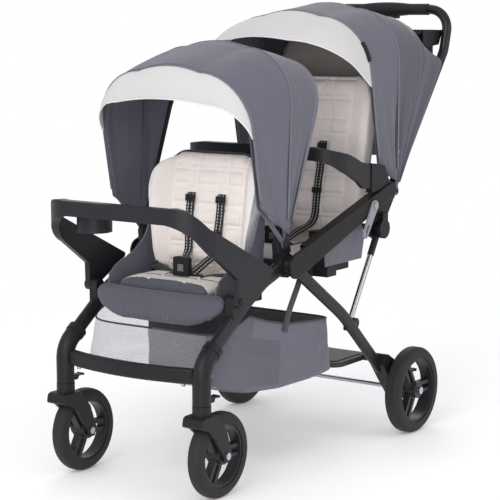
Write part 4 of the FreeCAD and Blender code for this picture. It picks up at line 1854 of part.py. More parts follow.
def make_rear_canopy():
    hood, bows, up = make_canopy(rear_pivot, size["rear_hood_half_width"] - size["cloth_thickness"],
                                 size["rear_hood_reach"],
                                 (size["rear_hood_rear_angle"], size["rear_hood_middle_angle"]),
                                 rear_knee, rear_top, (0, 0, 1))
    cloth = size["cloth_thickness"].value
    outer = size["rear_hood_half_width"].value
    foot, up_a = plane_through(rear_pivot, size["rear_hood_rear_angle"])
    foot, up_b = plane_through(rear_pivot, size["rear_hood_edge_angle"])
    start = size["canopy_foot_start"].value
    corner = size["canopy_corner"].value

    def side_strip(up_here, reach, bend, sweep, sign):
        # The side of the hood from its foot up to where its corner has turned by the sweep
        x_mid = outer - bend
        side_top = reach - bend * math.sin(sweep)
        points = []
        for radius in (bend, bend - cloth):
            for part in (0.0, half_share, 1.0):
                turned_by = sweep * part
                x = sign * (x_mid + radius * math.cos(turned_by))
                points.append(foot + up_here * (side_top + radius * math.sin(turned_by)) + Vector(x, 0, 0))
        a = foot + up_here * start + Vector(sign * outer, 0, 0)
        h = foot + up_here * start + Vector(sign * (outer - cloth), 0, 0)
        b, c, d, g, f, e = points
        ring = [Part.makeLine(a, b), Part.Arc(b, c, d).toShape(), Part.makeLine(d, e),
                Part.Arc(e, f, g).toShape(),
                Part.makeLine(g, h), Part.makeLine(h, a)]
        return Part.Wire(ring)
    edge_side = size["tray_half_width"].value + size["layer_gap"].value * 5
    wide_sweep = math.acos((edge_side - outer + corner) / corner)
    narrow_bend = outer - edge_side
    side_top_a = size["rear_hood_reach"].value + cloth - size["canopy_crown"].value - corner
    reach_a = side_top_a + corner * math.sin(wide_sweep)
    for sign in (-1, 1):
        near_strip = side_strip(up_a, reach_a, corner, wide_sweep, sign)
        far_strip = side_strip(up_b, size["rear_hood_edge_reach"].value, narrow_bend, math.pi / 2, sign)
        gusset = Part.makeLoft([near_strip, far_strip], True, True)
        hood = hood.fuse(gusset)
    node("rear_canopy_cloth", "Rear canopy cloth", solid("rear_canopy_cloth_body", hood))
    node("rear_canopy_middle_bow", "Rear canopy middle bow", solid("rear_middle_bow_body", bows[1]))
    node("rear_canopy_front_bow", "Rear canopy front bow", solid("rear_front_bow_body", bows[2]))
    up = (rear_top - rear_knee).normalize()
    end = spot_of("rear_visor_end_back", "rear_visor_end_height")
    lip = spot_of("rear_visor_lip_back", "rear_visor_lip_height")
    first = (end - rear_knee).dot(up)
    base = rear_knee + up * first + Vector(0, -up.z,
                                           up.y) * (size["bow_width"].value / 2 + size["layer_gap"].value)
    seam_reach = (rear_top - rear_knee).Length + cloth - first
    lip_up = (lip - base).normalize()
    visor = crescent(base, up, seam_reach, lip_up, (lip - base).Length, outer)
    node("rear_canopy_visor", "Rear canopy visor", solid("rear_canopy_visor_body", visor))


make_rear_canopy()


# Basket of cloth with an open top and a low front lip
def make_basket():
    w = size["basket_half_width"].value
    wall = size["basket_wall"].value
    y0 = back(size["basket_front"]).value
    z0 = size["basket_low"].value
    span = size["basket_span"].value
    rise = size["basket_rise"].value
    ring = [Vector(-w, y0 + span * u, z0 + rise * v) for u, v in BASKET_SIDE_SHARES]
    block = Part.Face(Part.makePolygon(ring + [ring[0]])).extrude(Vector(w * 2, 0, 0))
    inner = []
    for i, p in enumerate(ring):
        if i == 0:
            inner.append(Vector(-w + wall, p.y + wall * 0.2, p.z + wall * 1.4))
        elif i in (7, 8):
            inner.append(Vector(-w + wall, p.y, p.z + wall))
        elif i == 6:
            inner.append(Vector(-w + wall, p.y - wall * 1.1, p.z + wall))
        elif i == 5:
            inner.append(Vector(-w + wall, p.y - wall, p.z + rise))
        else:
            inner.append(Vector(-w + wall, p.y - (wall if i < 2 else 0), p.z + rise))
    inner[0] = Vector(-w + wall, ring[0].y - wall, ring[0].z + wall)
    room = Part.Face(Part.makePolygon(inner + [inner[0]])).extrude(Vector((w - wall) * 2, 0, 0))
    tub = block.cut(room)
    top = Vector(size["hanger_side"].value, back(size["hanger_top_back"]).value,
                 size["hanger_top_height"].value)
    notch = Vector(size["hanger_side"].value, y0 + span * 0.5275, z0 + rise * 0.79)
    return tub, top, notch


basket_shape, hanger_top, hanger_notch = make_basket()
hanger_half = size["hanger_width"].value / 2
strap_thick = size["cloth_thickness"].value
hanger_shapes = []
hanger_tab = size["rail_inner"].value - size["basket_half_width"].value
for sign in (-1, 1):
    low_x = sign * size["basket_half_width"].value
    low_x = low_x if sign > 0 else low_x - strap_thick
    ring = [
        Vector(low_x, hanger_top.y - hanger_half, hanger_top.z),
        Vector(low_x, hanger_top.y + hanger_half, hanger_top.z),
        Vector(low_x, hanger_notch.y + hanger_half, hanger_notch.z - hanger_half * 2),
        Vector(low_x, hanger_notch.y - hanger_half, hanger_notch.z - hanger_half * 2),
    ]
    strap = Part.Face(Part.makePolygon(ring + [ring[0]])).extrude(Vector(strap_thick, 0, 0))
    tab_low = size["basket_half_width"].value if sign > 0 else -size["rail_inner"].value
    tab = Part.makeBox(hanger_tab, hanger_half * 2, strap_thick * 2,
                       Vector(tab_low, hanger_top.y - hanger_half, hanger_top.z - strap_thick * 2))
    hanger_shapes.append(strap.fuse(tab).removeSplitter())
node("basket", "Basket with hangers",
     solid("basket_body", Part.makeCompound([basket_shape] + hanger_shapes)))


def make_buckle(name, label, at):
    wide = size["buckle_width"].value
    tall = size["buckle_height"].value
    deep = size["buckle_depth"].value
    body = Part.makeBox(wide, deep, tall, Vector(at.x - wide / 2, at.y - deep / 2, at.z))
    upright = [edge for edge in body.Edges if abs(edge.tangentAt(edge.FirstParameter).y) > 0.99]
    body = body.makeFillet(deep * 0.45, upright)
    s = size["button_size"].value
    h = size["button_height"].value
    gap = size["button_window"].value
    room = Part.makeBox(s + gap * 2, h * 1.6, s + gap * 2,
                        Vector(at.x - s / 2 - gap, at.y - deep / 2, at.z + tall / 2 - s / 2 - gap))
    node(name, label, solid(name + "_body", body.cut(room)))
    button = Part.makeBox(s, h, s, Vector(at.x - s / 2, at.y - deep / 2 - h * 0.3, at.z + tall / 2 - s / 2))
    node(name + "_button", label + " button", solid(name + "_button_body", button))


front_buckle_at = Vector(0, back(size["seat_front"]).value + size["seat_depth"].value * 0.5,
                         size["seat_floor"].value + size["seat_pan_height"].value
                         + size["seat_pad_height"].value + size["pad_crown"].value)
rear_buckle_at = Vector(0, back(size["rear_seat_front"]).value + size["rear_seat_depth"].value * 0.5,
                        size["rear_seat_floor"].value + size["seat_pan_height"].value
                        + size["seat_pad_height"].value + size["pad_crown"].value)
make_buckle("front_buckle", "Front buckle", front_buckle_at)
make_buckle("rear_buckle", "Rear buckle", rear_buckle_at)
node("front_harness", "Front harness",
     solid("front_harness_body", make_harness(front_back_frame, size["back_length"], front_buckle_at)))
node("rear_harness", "Rear harness",
     solid("rear_harness_body", make_harness(rear_back_frame, size["rear_back_length"], rear_buckle_at)))

doc.recompute()


# Check of every object, then one exported file for each piece
def check_all():
    for thing in doc.Objects:
        bad = [state for state in thing.State if state in ("Invalid", "Error")]
        if bad:
            raise ValueError("bad state: %s %s" % (thing.Name, thing.State))
    for name, thing in NODES.items():
        shape = thing.Shape
        if shape.isNull() or not shape.isValid():
            raise ValueError("bad shape: " + name)
        if not shape.Solids:
            raise ValueError("no solid: " + name)


check_all()
os.makedirs("parts", exist_ok=True)
for name, thing in NODES.items():
    thing.Shape.exportStep("parts/" + name + ".step")
    extent = thing.Shape.BoundBox
    print("%-26s solids %d x %.1f %.1f y %.1f %.1f z %.1f %.1f" % (
        name, len(thing.Shape.Solids), extent.XMin, extent.XMax, extent.YMin, extent.YMax, extent.ZMin,
        extent.ZMax))
print("pieces", len(NODES))
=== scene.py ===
# %% [markdown]
# # A tandem stroller: cloth and finishes over a working frame
# The frame, wheels and hinges come ready made, as exact solids. What is left for Blender is what the
# eye reads first: two canopies, two quilted backs, pads, straps, a basket, and the finish of each part.
# Every length here is in metres, X to the near side, Y to the back and Z up.

# %% Load the frame and keep its box
import math
import bmesh
import bpy
import numpy as np
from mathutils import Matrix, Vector


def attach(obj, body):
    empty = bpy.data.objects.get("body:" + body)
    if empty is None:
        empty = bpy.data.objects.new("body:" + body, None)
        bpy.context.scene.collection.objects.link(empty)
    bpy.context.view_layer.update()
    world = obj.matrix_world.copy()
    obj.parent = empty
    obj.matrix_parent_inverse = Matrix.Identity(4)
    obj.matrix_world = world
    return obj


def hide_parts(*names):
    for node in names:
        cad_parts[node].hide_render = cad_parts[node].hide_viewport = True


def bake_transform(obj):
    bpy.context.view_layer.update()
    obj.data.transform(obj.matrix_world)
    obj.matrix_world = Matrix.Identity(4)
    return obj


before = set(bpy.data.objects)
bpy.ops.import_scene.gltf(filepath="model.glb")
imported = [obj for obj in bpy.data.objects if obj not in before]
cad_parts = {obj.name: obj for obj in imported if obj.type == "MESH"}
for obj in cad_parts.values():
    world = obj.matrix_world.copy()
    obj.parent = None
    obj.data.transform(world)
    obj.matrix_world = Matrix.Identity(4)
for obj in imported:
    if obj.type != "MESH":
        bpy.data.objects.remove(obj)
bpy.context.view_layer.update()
CASTER_Y = -0.532
ACROSS = np.array([1.0, 0.0, 0.0])


def place(x, back, up):
    """A point from millimetres: across, back from the caster axes, and above the floor."""
    return np.array([x, back, up], float) / 1000 + np.array([0.0, CASTER_Y, 0.0])


# %% [markdown]
# ## The camera
# The photograph was taken from a little above the tray, a third of the way round from the front, with a
# long lens. Its place was worked out once from the wheels and hubs, so it is written here as numbers.

# %% The camera
azimuth, elevation, roll = math.radians(35.315), math.radians(8.656), math.radians(-0.208)
look = Vector((-math.sin(azimuth) * math.cos(elevation), math.cos(azimuth) * math.cos(elevation),
               -math.sin(elevation)))
camera_data = bpy.data.cameras.new("studio_camera")
camera_data.lens = 118.78
camera_data.sensor_width = 36.0
camera = bpy.data.objects.new("studio_camera", camera_data)
camera.location = (2.29766, -3.31540, 1.09127)
camera.rotation_euler = look.to_track_quat("-Z", "Y").to_euler()
camera.rotation_euler.rotate_axis("Z", roll)
bpy.context.collection.objects.link(camera)
bpy.context.scene.camera = camera
bpy.context.scene.view_settings.view_transform = "Standard"

# %% [markdown]
# ## Shader sums as plain sums
# A material is a graph of nodes, and a graph is hard to read as text. The class Reading wraps one
# socket, so that a sum such as mask * 0.5 adds the Math node that it needs. Finish is one material, and
# its method add takes any node with its settings and the values or readings of its sockets.

# %% A socket that can be added and multiplied
class Reading:
    """One output socket; the usual signs add Math nodes to its material."""

    def __init__(self, finish, socket):
        self.finish, self.socket = finish, socket

    def sum_with(self, operation, other):
        return self.finish.add("ShaderNodeMath", {"operation": operation}, {0: self, 1: other})

    def __add__(self, other):
        return self.sum_with("ADD", other)

    __radd__ = __add__

    def __sub__(self, other):
        return self.sum_with("SUBTRACT", other)

    def __mul__(self, other):
        return self.sum_with("MULTIPLY", other)

    def __truediv__(self, other):
        return self.sum_with("DIVIDE", other)

    def __gt__(self, other):
        return self.sum_with("GREATER_THAN", other)

    def __lt__(self, other):
        return self.sum_with("LESS_THAN", other)

    def one(self, operation, other=0.5):
        return self.sum_with(operation, other)

    def out(self, name):
        return Reading(self.finish, self.socket.node.outputs[name])


class Finish:
    """One material, and a method that adds a node to it."""

    def __init__(self, name):
        self.material = bpy.data.materials.new(name)
        self.material.use_nodes = True
        self.tree = self.material.node_tree
        self.tree.nodes.clear()

    def add(self, kind, settings=None, values=None, out=0):
        node = self.tree.nodes.new(kind)
        for key, value in (settings or {}).items():
            setattr(node, key, value)
        for key, value in (values or {}).items():
            if isinstance(value, Reading):
                self.tree.links.new(value.socket, node.inputs[key])
            else:
                node.inputs[key].default_value = value
        return Reading(self, node.outputs[out])

    def mixed(self, share, first, second):
        return self.add("ShaderNodeMix", {"data_type": "RGBA"}, {0: share, 6: first, 7: second}, 2)

    def where(self, kind="Object"):
        return self.add("ShaderNodeTexCoord").out(kind)

    def noise(self, at, scale, detail=2.0, roughness=0.5):
        return self.add("ShaderNodeTexNoise", {},
                        {"Vector": at, "Scale": scale, "Detail": detail, "Roughness": roughness})

    def bump(self, height, strength, distance, normal=None):
        values = {"Height": height, "Strength": strength, "Distance": distance}
        if normal is not None:
            values["Normal"] = normal
        return self.add("ShaderNodeBump", {}, values)

    def bevel(self, radius):
        return self.add("ShaderNodeBevel", {"samples": 4}, {"Radius": radius})

    def split(self, at):
        return self.add("ShaderNodeSeparateXYZ", {}, {"Vector": at})

    def skin(self, values):
        return self.done(self.add("ShaderNodeBsdfPrincipled", {}, values))

    def done(self, shader):
        end = self.tree.nodes.new("ShaderNodeOutputMaterial")
        self.tree.links.new(shader.socket, end.inputs["Surface"])
        return self.material


def paint(red, green, blue):
    """A colour as a screen shows it, 0 to 255, turned to the linear numbers that a shader takes."""
    share = np.array([red, green, blue]) / 255.0
    linear = np.where(share <= 0.04045, share / 12.92, ((share + 0.055) / 1.055) ** 2.4)
    return (*[float(c) for c in linear], 1.0)


def darker(colour, share):
    return (*[c * share for c in colour[:3]], 1.0)


# %% [markdown]
# ## Moulded plastic, coated tube and bright steel
# The frame is satin black. Moulded parts have a fine spark texture, coated tube is a little glossier with
# a faint orange peel, and both show softened edges, which the Bevel node fakes on the exact solids.

# %% Hard finishes
def hard(name, colour, rough, grain, grain_size, metal=0.0, bevel=0.0012, coat=0.0):
    f = Finish(name)
    at = f.where()
    soft = f.noise(at, 9.0, 3.0)
    fine = f.noise(at, grain_size, 2.0)
    edge = f.bevel(bevel)
    normal = f.bump(fine, grain, 0.0004, edge)
    shade = f.mixed(soft, darker(colour, 0.90), darker(colour, 1.08))
    return f.skin({
        "Base Color": shade, "Roughness": rough + (soft - 0.5) * 0.10 + (fine - 0.5) * 0.06,
        "Metallic": metal,
        "Normal": normal, "Specular IOR Level": 0.30, "Coat Weight": coat, "Coat Roughness": 0.25})


black_moulding = hard("black_moulding", paint(27, 26, 29), 0.46, 0.25, 900.0)
rail_moulding = hard("rail_moulding", paint(15, 14, 15), 0.40, 0.20, 900.0)
black_tube = hard("black_coated_tube", paint(27, 26, 30), 0.36, 0.10, 260.0, bevel=0.0006, coat=0.10)
satin_bar = hard("satin_tray_bar", paint(37, 35, 40), 0.42, 0.18, 1100.0, bevel=0.0015)
rim_plastic = hard("wheel_rim_plastic", paint(44, 44, 47), 0.38, 0.15, 700.0, bevel=0.001)
silver_plastic = hard("silver_grey_plastic", paint(146, 148, 157), 0.34, 0.12, 800.0, bevel=0.0008)
bright_steel = hard("bright_steel", paint(190, 192, 196), 0.24, 0.06, 400.0, metal=1.0, bevel=0.0004)
soft_grip = hard("soft_grip_foam", paint(38, 37, 40), 0.68, 0.55, 1500.0, bevel=0.001)
button_grey = hard("buckle_button_grey", paint(120, 121, 128), 0.4, 0.15, 900.0, bevel=0.0006)


# %% The tyre, a fine grained rubber with patches of dust
def tyre():
    f = Finish("tyre_foam_rubber")
    at = f.where()
    fine = f.noise(at, 1400.0, 2.0)
    dust = f.noise(at, 26.0, 4.0)
    edge = f.bevel(0.0015)
    normal = f.bump(fine, 0.5, 0.0005, edge)
    shade = f.mixed(dust, paint(36, 35, 36), paint(50, 48, 48))
    return f.skin({
        "Base Color": shade, "Roughness": 0.62 + (dust - 0.5) * 0.2, "Normal": normal,
        "Specular IOR Level": 0.25})


tyre_rubber = tyre()


# %% The platform's tread, with small raised dots against slipping
def tread():
    f = Finish("platform_tread")
    at = f.where()
    dots = f.add("ShaderNodeTexVoronoi", {"feature": "F1"},
                 {"Vector": at, "Scale": 120.0, "Randomness": 0.0})
    raised = dots < 0.30
    fine = f.noise(at, 900.0, 2.0)
    edge = f.bevel(0.001)
    normal = f.bump(raised + fine * 0.2, 0.5, 0.0006, edge)
    shade = f.mixed(raised, paint(38, 37, 40), paint(52, 51, 54))
    return f.skin({"Base Color": shade, "Roughness": 0.55, "Normal": normal})


platform_tread = tread()

# %% [markdown]
# ## Give each hard part its finish
# A solid from the frame keeps its exact shape, and takes a finish by its material slot.

# %% Finishes of the hard parts
finish_of = {
    satin_bar: ["front_tray", "rear_tray"],
    black_moulding: [
        "caster_fork_left", "caster_fork_right", "swivel_lock_left", "swivel_lock_right", "leg_elbows",
        "crossbar",
        "wheel_brackets", "brake_pedal_left", "brake_pedal_right", "handle_castings", "parent_tray",
        "strut_sleeves", "front_seat_pan", "rear_seat_pan", "hub_housings", "tray_fittings",
        "front_buckle", "rear_buckle"],
    rail_moulding: ["side_rails"],
    black_tube: ["leg_tubes", "rear_legs", "handle_tube"],
    rim_plastic: [side + "_wheel_" + hand + "_rim" for side in ("front",
                                                                "rear") for hand in ("left", "right")],
    tyre_rubber: [side + "_wheel_" + hand + "_tyre" for side in ("front",
                                                                 "rear") for hand in ("left", "right")],
    bright_steel: ["strut_tubes", "front_axle_left", "front_axle_right", "rear_axle", "frame_pins"],
    silver_plastic: ["storage_latch", "fold_trigger"],
    soft_grip: ["handle_grip"],
    button_grey: ["front_buckle_button", "rear_buckle_button"],
    platform_tread: ["platform"],
}
for finish, names in finish_of.items():
    for name in names:
        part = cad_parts[name]
        part.data.materials.clear()
        part.data.materials.append(finish)
print("hard parts finished", sum(len(names) for names in finish_of.values()))

# %% [markdown]
# ## Cloth
# The canopies are a tightly woven polyester in a grey with a little purple. A plain weave is two sets of
# waves at right angles. On a sheet the pattern follows the sheet's own UV map, which is in metres, and on
# a stuffed pad, whose UV map is lost when it is swelled, it follows the object's coordinates.

# %% Woven cloth
def woven(name, colour, pitch=0.0011, depth=0.35, sheen=0.25, rough=0.82, on_sheet=True, folds=0.6,
          shade_share=0.07):
    f = Finish(name)
    at = f.where("UV") if on_sheet else f.where("Object")
    parts = f.split(at)
    turn = 2 * math.pi / pitch
    across = (parts.out("X") * turn).one("SINE")
    along = (parts.out("Y") * turn).one("SINE") if on_sheet else (parts.out("Z") * turn).one("SINE")
    weave = across * along
    threads = f.noise(at, 600.0, 1.0)
    patches = f.noise(f.where("Object"), 7.0, 3.0, 0.55)
    creases = f.noise(f.where("Object"), 16.0, 2.0, 0.6)
    normal = f.bump(creases, folds, 0.006)
    normal = f.bump(weave * 0.5 + threads * 0.8, depth, 0.0004, normal)
    tone = (patches - 0.5) * 1.2 + (threads - 0.5) * 0.5 + weave * 0.12 + 0.5
    shade = f.mixed(tone, darker(colour, 1 - shade_share), darker(colour, 1 + shade_share))
    return f.skin({
        "Base Color": shade, "Roughness": rough + (patches - 0.5) * 0.12, "Normal": normal,
        "Sheen Weight": sheen, "Sheen Roughness": 0.45, "Specular IOR Level": 0.3})


grey_cloth = woven("grey_canopy_cloth", paint(101, 100, 113))
# The canopy's own grey painted darker: painted shade for the panel behind the rear pin, the side pieces and the
# curtain.
shaded_canopy_cloth = woven("shaded_grey_canopy_cloth", paint(86, 85, 98))
grey_pad = woven("grey_pad_cloth", paint(88, 88, 99), on_sheet=False, folds=0.2)
dark_cloth = woven("dark_lining_cloth", paint(104, 101, 106))
white_cloth = woven("white_visor_cloth", paint(212, 210, 210), sheen=0.1, folds=0.15, shade_share=0.03)
cream_pad = woven("cream_quilt_cloth", paint(246, 237, 232), pitch=0.0014, on_sheet=False, folds=0.25,
                  shade_share=0.035)
white_satin = woven("white_satin_lining", paint(243, 243, 246), pitch=0.0014, rough=0.5, on_sheet=False,
                    folds=0.7, shade_share=0.02)
binding_dark = woven("dark_binding_tape", paint(58, 57, 64), pitch=0.0016, depth=0.6, folds=0.1)
# A darker copy of the pad's cream: painted shade, for the curtain's lining inside the hood and for the gussets.
shaded_cream_lining = woven("shaded_cream_lining_sheet", paint(214, 202, 195))
binding_grey = woven("grey_binding_tape", paint(112, 111, 123), pitch=0.0016, depth=0.6, folds=0.1)
binding_white = woven("white_binding_tape", paint(242, 240, 238), pitch=0.0016, depth=0.6, folds=0.1,
                      shade_share=0.02)


# %% Webbing with two dashed rows of white stitches
def webbing():
    f = Finish("black_webbing")
    parts = f.split(f.where("UV"))
    across, along = parts.out("X"), parts.out("Y")
    row = (across.one("ABSOLUTE") - 0.0050).one("ABSOLUTE") < 0.0011
    dash = (along / 0.0075).one("FRACT") < 0.62
    stitch = row * dash
    ribs = (along * (2 * math.pi / 0.0016)).one("SINE")
    tone = f.noise(f.where("UV"), 500.0, 2.0)
    shade = f.mixed(stitch, f.mixed(tone, paint(26, 25, 28), paint(42, 41, 45)), paint(214, 213, 214))
    normal = f.bump(ribs * 0.5 + stitch * 1.2, 0.5, 0.0004)
    return f.skin({"Base Color": shade, "Roughness": 0.7, "Normal": normal})


black_webbing = webbing()
black_webbing_plain = woven("plain_black_label", paint(30, 29, 33), pitch=0.0016, folds=0.1)


# %% Netting, a grid of threads with open holes
def netting(name, colour, thread_cover, hole_cover):
    f = Finish(name)
    parts = f.split(f.where("UV"))
    pitch = 0.0036
    across = ((parts.out("X") / pitch).one("FRACT") - 0.5).one("ABSOLUTE")
    along = ((parts.out("Y") / pitch).one("FRACT") - 0.5).one("ABSOLUTE")
    thread = (across.one("MAXIMUM", along) > 0.36)
    alpha = thread * thread_cover + hole_cover
    return f.skin({
        "Base Color": colour, "Roughness": 0.7, "Alpha": alpha, "Normal": f.bump(thread, 0.4, 0.0004)})


net = netting("basket_netting", paint(196, 196, 202), 0.40, 0.02)
deep_net = netting("basket_side_netting", paint(118, 117, 129), 0.55, 0.30)

# %% [markdown]
# ## Surfaces from two parameters
# Each cloth is a grid of points: the first index runs one way over the cloth and the second the other way.
# The helper turns the grid into a mesh, and measures the lengths along it for the UV map, so that the
# threads keep their size on a long panel and on a short one.

# %% From a grid of points to a mesh
def draped(name, points, finish, wrap=False, flip=False, uv=None):
    """A mesh over the grid; UV is the length along each row and each column, in metres."""
    rows, cols = points.shape[:2]
    wide = np.concatenate([points, points[:, :1]], axis=1) if wrap else points
    if uv is None:
        u = np.concatenate([np.zeros((rows, 1)),
                            np.cumsum(np.linalg.norm(np.diff(wide, axis=1), axis=2), axis=1)], axis=1)
        v = np.concatenate([np.zeros((1, wide.shape[1])),
                            np.cumsum(np.linalg.norm(np.diff(wide, axis=0), axis=2), axis=0)])
        uv = np.stack([u, v], -1)
    r, c = np.meshgrid(np.arange(rows - 1), np.arange(wide.shape[1] - 1), indexing="ij")
    corners = [(r, c), (r, c + 1), (r + 1, c + 1), (r + 1, c)]
    if flip:
        corners = corners[::-1]
    quads = np.stack([a * cols + b % cols for a, b in corners], -1).reshape(-1, 4)
    chart = np.stack([uv[a, b] for a, b in corners], 2).reshape(-1, 2)
    mesh = bpy.data.meshes.new(name)
    mesh.from_pydata(points.reshape(-1, 3).tolist(), [], quads.tolist())
    layer = mesh.uv_layers.new(name="UVMap")
    layer.data.foreach_set("uv", chart.ravel())
    mesh.shade_smooth()
    mesh.materials.append(finish)
    piece = bpy.data.objects.new(name, mesh)
    bpy.context.collection.objects.link(piece)
    return piece


def walled(piece, thickness, offset=-1.0):
    """Give a sheet its thickness; the offset says to which side of the grid the wall grows."""
    wall = piece.modifiers.new("wall", "SOLIDIFY")
    wall.thickness = thickness
    wall.offset = offset
    return piece


def rows_of(items, field):
    """One field of a mesh's points or faces, as rows of three numbers."""
    rows = np.empty(len(items) * 3)
    items.foreach_get(field, rows)
    return rows.reshape(-1, 3)


def area_of(piece):
    return sum(face.area for face in piece.data.polygons)


def smooth_path(points, count):
    """A curve through the points, by the cubic of Catmull and Rom between each two."""
    p = np.asarray(points, float)
    p = np.vstack([2 * p[0] - p[1], p, 2 * p[-1] - p[-2]])
    t = np.linspace(0, len(p) - 3 - 1e-9, count)
    k = t.astype(int)
    f = (t - k)[:, None]
    a, b, c, d = p[k], p[k + 1], p[k + 2], p[k + 3]
    return 0.5 * (2 * b + (c - a) * f + (2 * a - 5 * b + 4 * c - d) * f ** 2
                  + (3 * b - a - 3 * c + d) * f ** 3)


def unit(v):
    return v / np.maximum(np.linalg.norm(v, axis=-1, keepdims=True), 1e-12)


def strap(name, points, out, width, thickness, finish, count=60, body=None):
    """A flat band along a path: a rounded slot profile in the plane of the out direction and the side."""
    path = smooth_path(points, count)
    ahead = unit(np.gradient(path, axis=0))
    lift = np.broadcast_to(np.asarray(out, float),
                           path.shape) if np.ndim(out) == 1 else smooth_path(out, count)
    side = unit(np.cross(ahead, lift))
    lift = unit(np.cross(side, ahead))
    w, t = width / 2, thickness / 2
    profile = np.array([(-w, -t * 0.6), (-w * 0.9, -t), (0, -t), (w * 0.9, -t), (w, -t * 0.6), (w, t * 0.6),
                        (w * 0.9, t), (0, t), (-w * 0.9, t), (-w, t * 0.6)])
    points = path[:, None] + side[:, None] * profile[None, :, :1] + lift[:, None] * profile[None, :, 1:]
    length = np.concatenate([[0], np.cumsum(np.linalg.norm(np.diff(path, axis=0), axis=1))])
    around = np.append(profile[:, 0], profile[0, 0])
    uv = np.stack([np.broadcast_to(around, (count, len(around))),
                   np.broadcast_to(length[:, None], (count, len(around)))], -1)
    piece = draped(name, points, finish, wrap=True, uv=uv)
    closed_ends(piece)
    if body:
        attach(piece, body)
    return piece


def closed_ends(piece):
    """Close the two open ends of a wrapped grid with a face each, and turn every face outwards."""
    work = bmesh.new()
    work.from_mesh(piece.data)
    rim = [edge for edge in work.edges if edge.is_boundary]
    bmesh.ops.holes_fill(work, edges=rim, sides=0)
    bmesh.ops.recalc_face_normals(work, faces=work.faces)
    work.to_mesh(piece.data)
    work.free()


def cord_round(name, points, radius, finish, count=60, sides=10, body=None):
    """Piping: a circle carried along a path."""
    path = smooth_path(points, count)
    ahead = unit(np.gradient(path, axis=0))
    guide = np.where(np.abs(ahead[:, :1]) > 0.9, np.array([[0.0, 0.0, 1.0]]), np.array([[1.0, 0.0, 0.0]]))
    side = unit(np.cross(ahead, guide))
    lift = np.cross(side, ahead)
    turn = np.linspace(0, 2 * math.pi, sides, endpoint=False)
    ring = radius * (side[:, None] * np.cos(turn)[None, :,
                                                  None] + lift[:, None] * np.sin(turn)[None, :, None])
    piece = draped(name, path[:, None] + ring, finish, wrap=True)
    closed_ends(piece)
    if body:
        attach(piece, body)
    return piece


def joined(name, pieces):
    """One object from several, which keeps the first one's name."""
    bpy.ops.object.select_all(action="DESELECT")
    for piece in pieces:
        piece.select_set(True)
    bpy.context.view_layer.objects.active = pieces[0]
    bpy.ops.object.join()
    pieces[0].name = name
    return pieces[0]


# %% [markdown]
# ## The arch of a canopy
# A canopy hangs on hoops that turn about one pin on each side. Seen from the front every hoop is the same
# arch: straight sides, round shoulders and a flat crown. The cloth is stretched between the hoops, so it
# is straight along the hoops, and between them it dips a little towards the inside.

# %% One arch, as a function of its share
def arch(half_width, reach, start=0.0, corner=0.130, crown=0.014, counts=(10, 12, 10)):
    """Points across and up: a straight side, a quarter circle, and half of the flat crown, then mirrored."""
    corner = min(corner, reach - crown - 0.0024)
    side_top = reach - crown - corner
    a = np.linspace(0, 1, counts[0], endpoint=False)
    side = np.stack([np.full_like(a, half_width), start + (side_top - start) * a], -1)
    b = np.linspace(0, math.pi / 2, counts[1], endpoint=False)
    shoulder = np.stack([half_width - corner + corner * np.cos(b), side_top + corner * np.sin(b)], -1)
    chord = half_width - corner
    radius = (chord ** 2 + crown ** 2) / (2 * crown)
    c = np.linspace(math.asin(chord / radius), 0, counts[2])
    top = np.stack([radius * np.sin(c), reach - radius + radius * np.cos(c)], -1)
    near = np.vstack([side, shoulder, top])
    return np.vstack([near, near[-2::-1] * [-1, 1]])


def standing(outline, foot, up):
    return foot + outline[:, :1] * ACROSS + outline[:, 1:] * up


def tilt(degrees):
    return np.array([0.0, math.cos(math.radians(degrees)), math.sin(math.radians(degrees))])


ROUNDING = 0.5


def stretched(hoops, rows_each, dip, inward):
    """Cloth through three hoops: between taut straight runs and one smooth curve, with a slight dip between."""
    middle = hoops[0].shape[0] // 2
    spans = [float(np.linalg.norm(hoops[k + 1][middle] - hoops[k][middle])) for k in range(2)]
    first, second = spans[0], spans[0] + spans[1]
    grid = []
    for k in range(2):
        share = np.linspace(0, 1, rows_each, endpoint=(k == 1))[:, None, None]
        flat = hoops[k][None] * (1 - share) + hoops[k + 1][None] * share
        t = (first if k else 0.0) + share * spans[k]
        smooth = (hoops[0][None] * (t - first) * (t - second) / (first * second)
                  - hoops[1][None] * t * (t - second) / (first * (second - first))
                  + hoops[2][None] * t * (t - first) / (second * (second - first)))
        flat = flat * (1 - ROUNDING) + smooth * ROUNDING
        sag = np.sin(math.pi * share) ** 2 * dip[k]
        centre = flat.mean(axis=1, keepdims=True) * inward + flat * (1 - inward)
        pull = unit(np.broadcast_to(centre, flat.shape) - flat)
        height = np.linspace(0, 1, flat.shape[1])
        fade = np.minimum(1, np.minimum(height, 1 - height) * 7)[None, :, None]
        grid.append(flat + pull * sag * fade)
    return np.concatenate(grid)


def creased(grid, pivot, amount, waves, seed):
    """Small folds that fan out of the hinge, strongest near it: a wave of the angle round the pivot."""
    rng = np.random.default_rng(seed)
    offset = grid - pivot
    reach = np.linalg.norm(offset[..., 1:], axis=-1)
    angle = np.arctan2(offset[..., 2], offset[..., 1])
    fold = sum(np.sin(angle * w + rng.uniform(0, 6.28)) * rng.uniform(0.5, 1.0) for w in waves) / len(waves)
    side = np.clip((np.abs(grid[..., 0]) - 0.15) / 0.05, 0, 1)
    strength = amount * side * np.exp(-((reach - 0.12) / 0.12) ** 2)
    moved = grid.copy()
    moved[..., 0] -= np.sign(grid[..., 0]) * np.abs(fold * strength)
    return moved


# The cloth lies this far outside the line of its bows, and a sheet has this wall.
CLOTH = 0.0024
SHEET_WALL = 0.0012
# Half the width and the reach of each canopy's arches, where they start, and the rear hoop's lean.
FRONT_HALF, FRONT_ARCH = 0.2144, 0.4594
REAR_HALF, REAR_ARCH = 0.213, 0.4704
HOOP_START = 0.026
HOOP_LEAN = 68.6

# %% [markdown]
# ## The front canopy
# The front hoop is kinked: from the pin it leans forward to a knee, and from there its plane stands almost
# upright. The rear hoop is fixed, and the middle one follows the front one when the canopy closes.

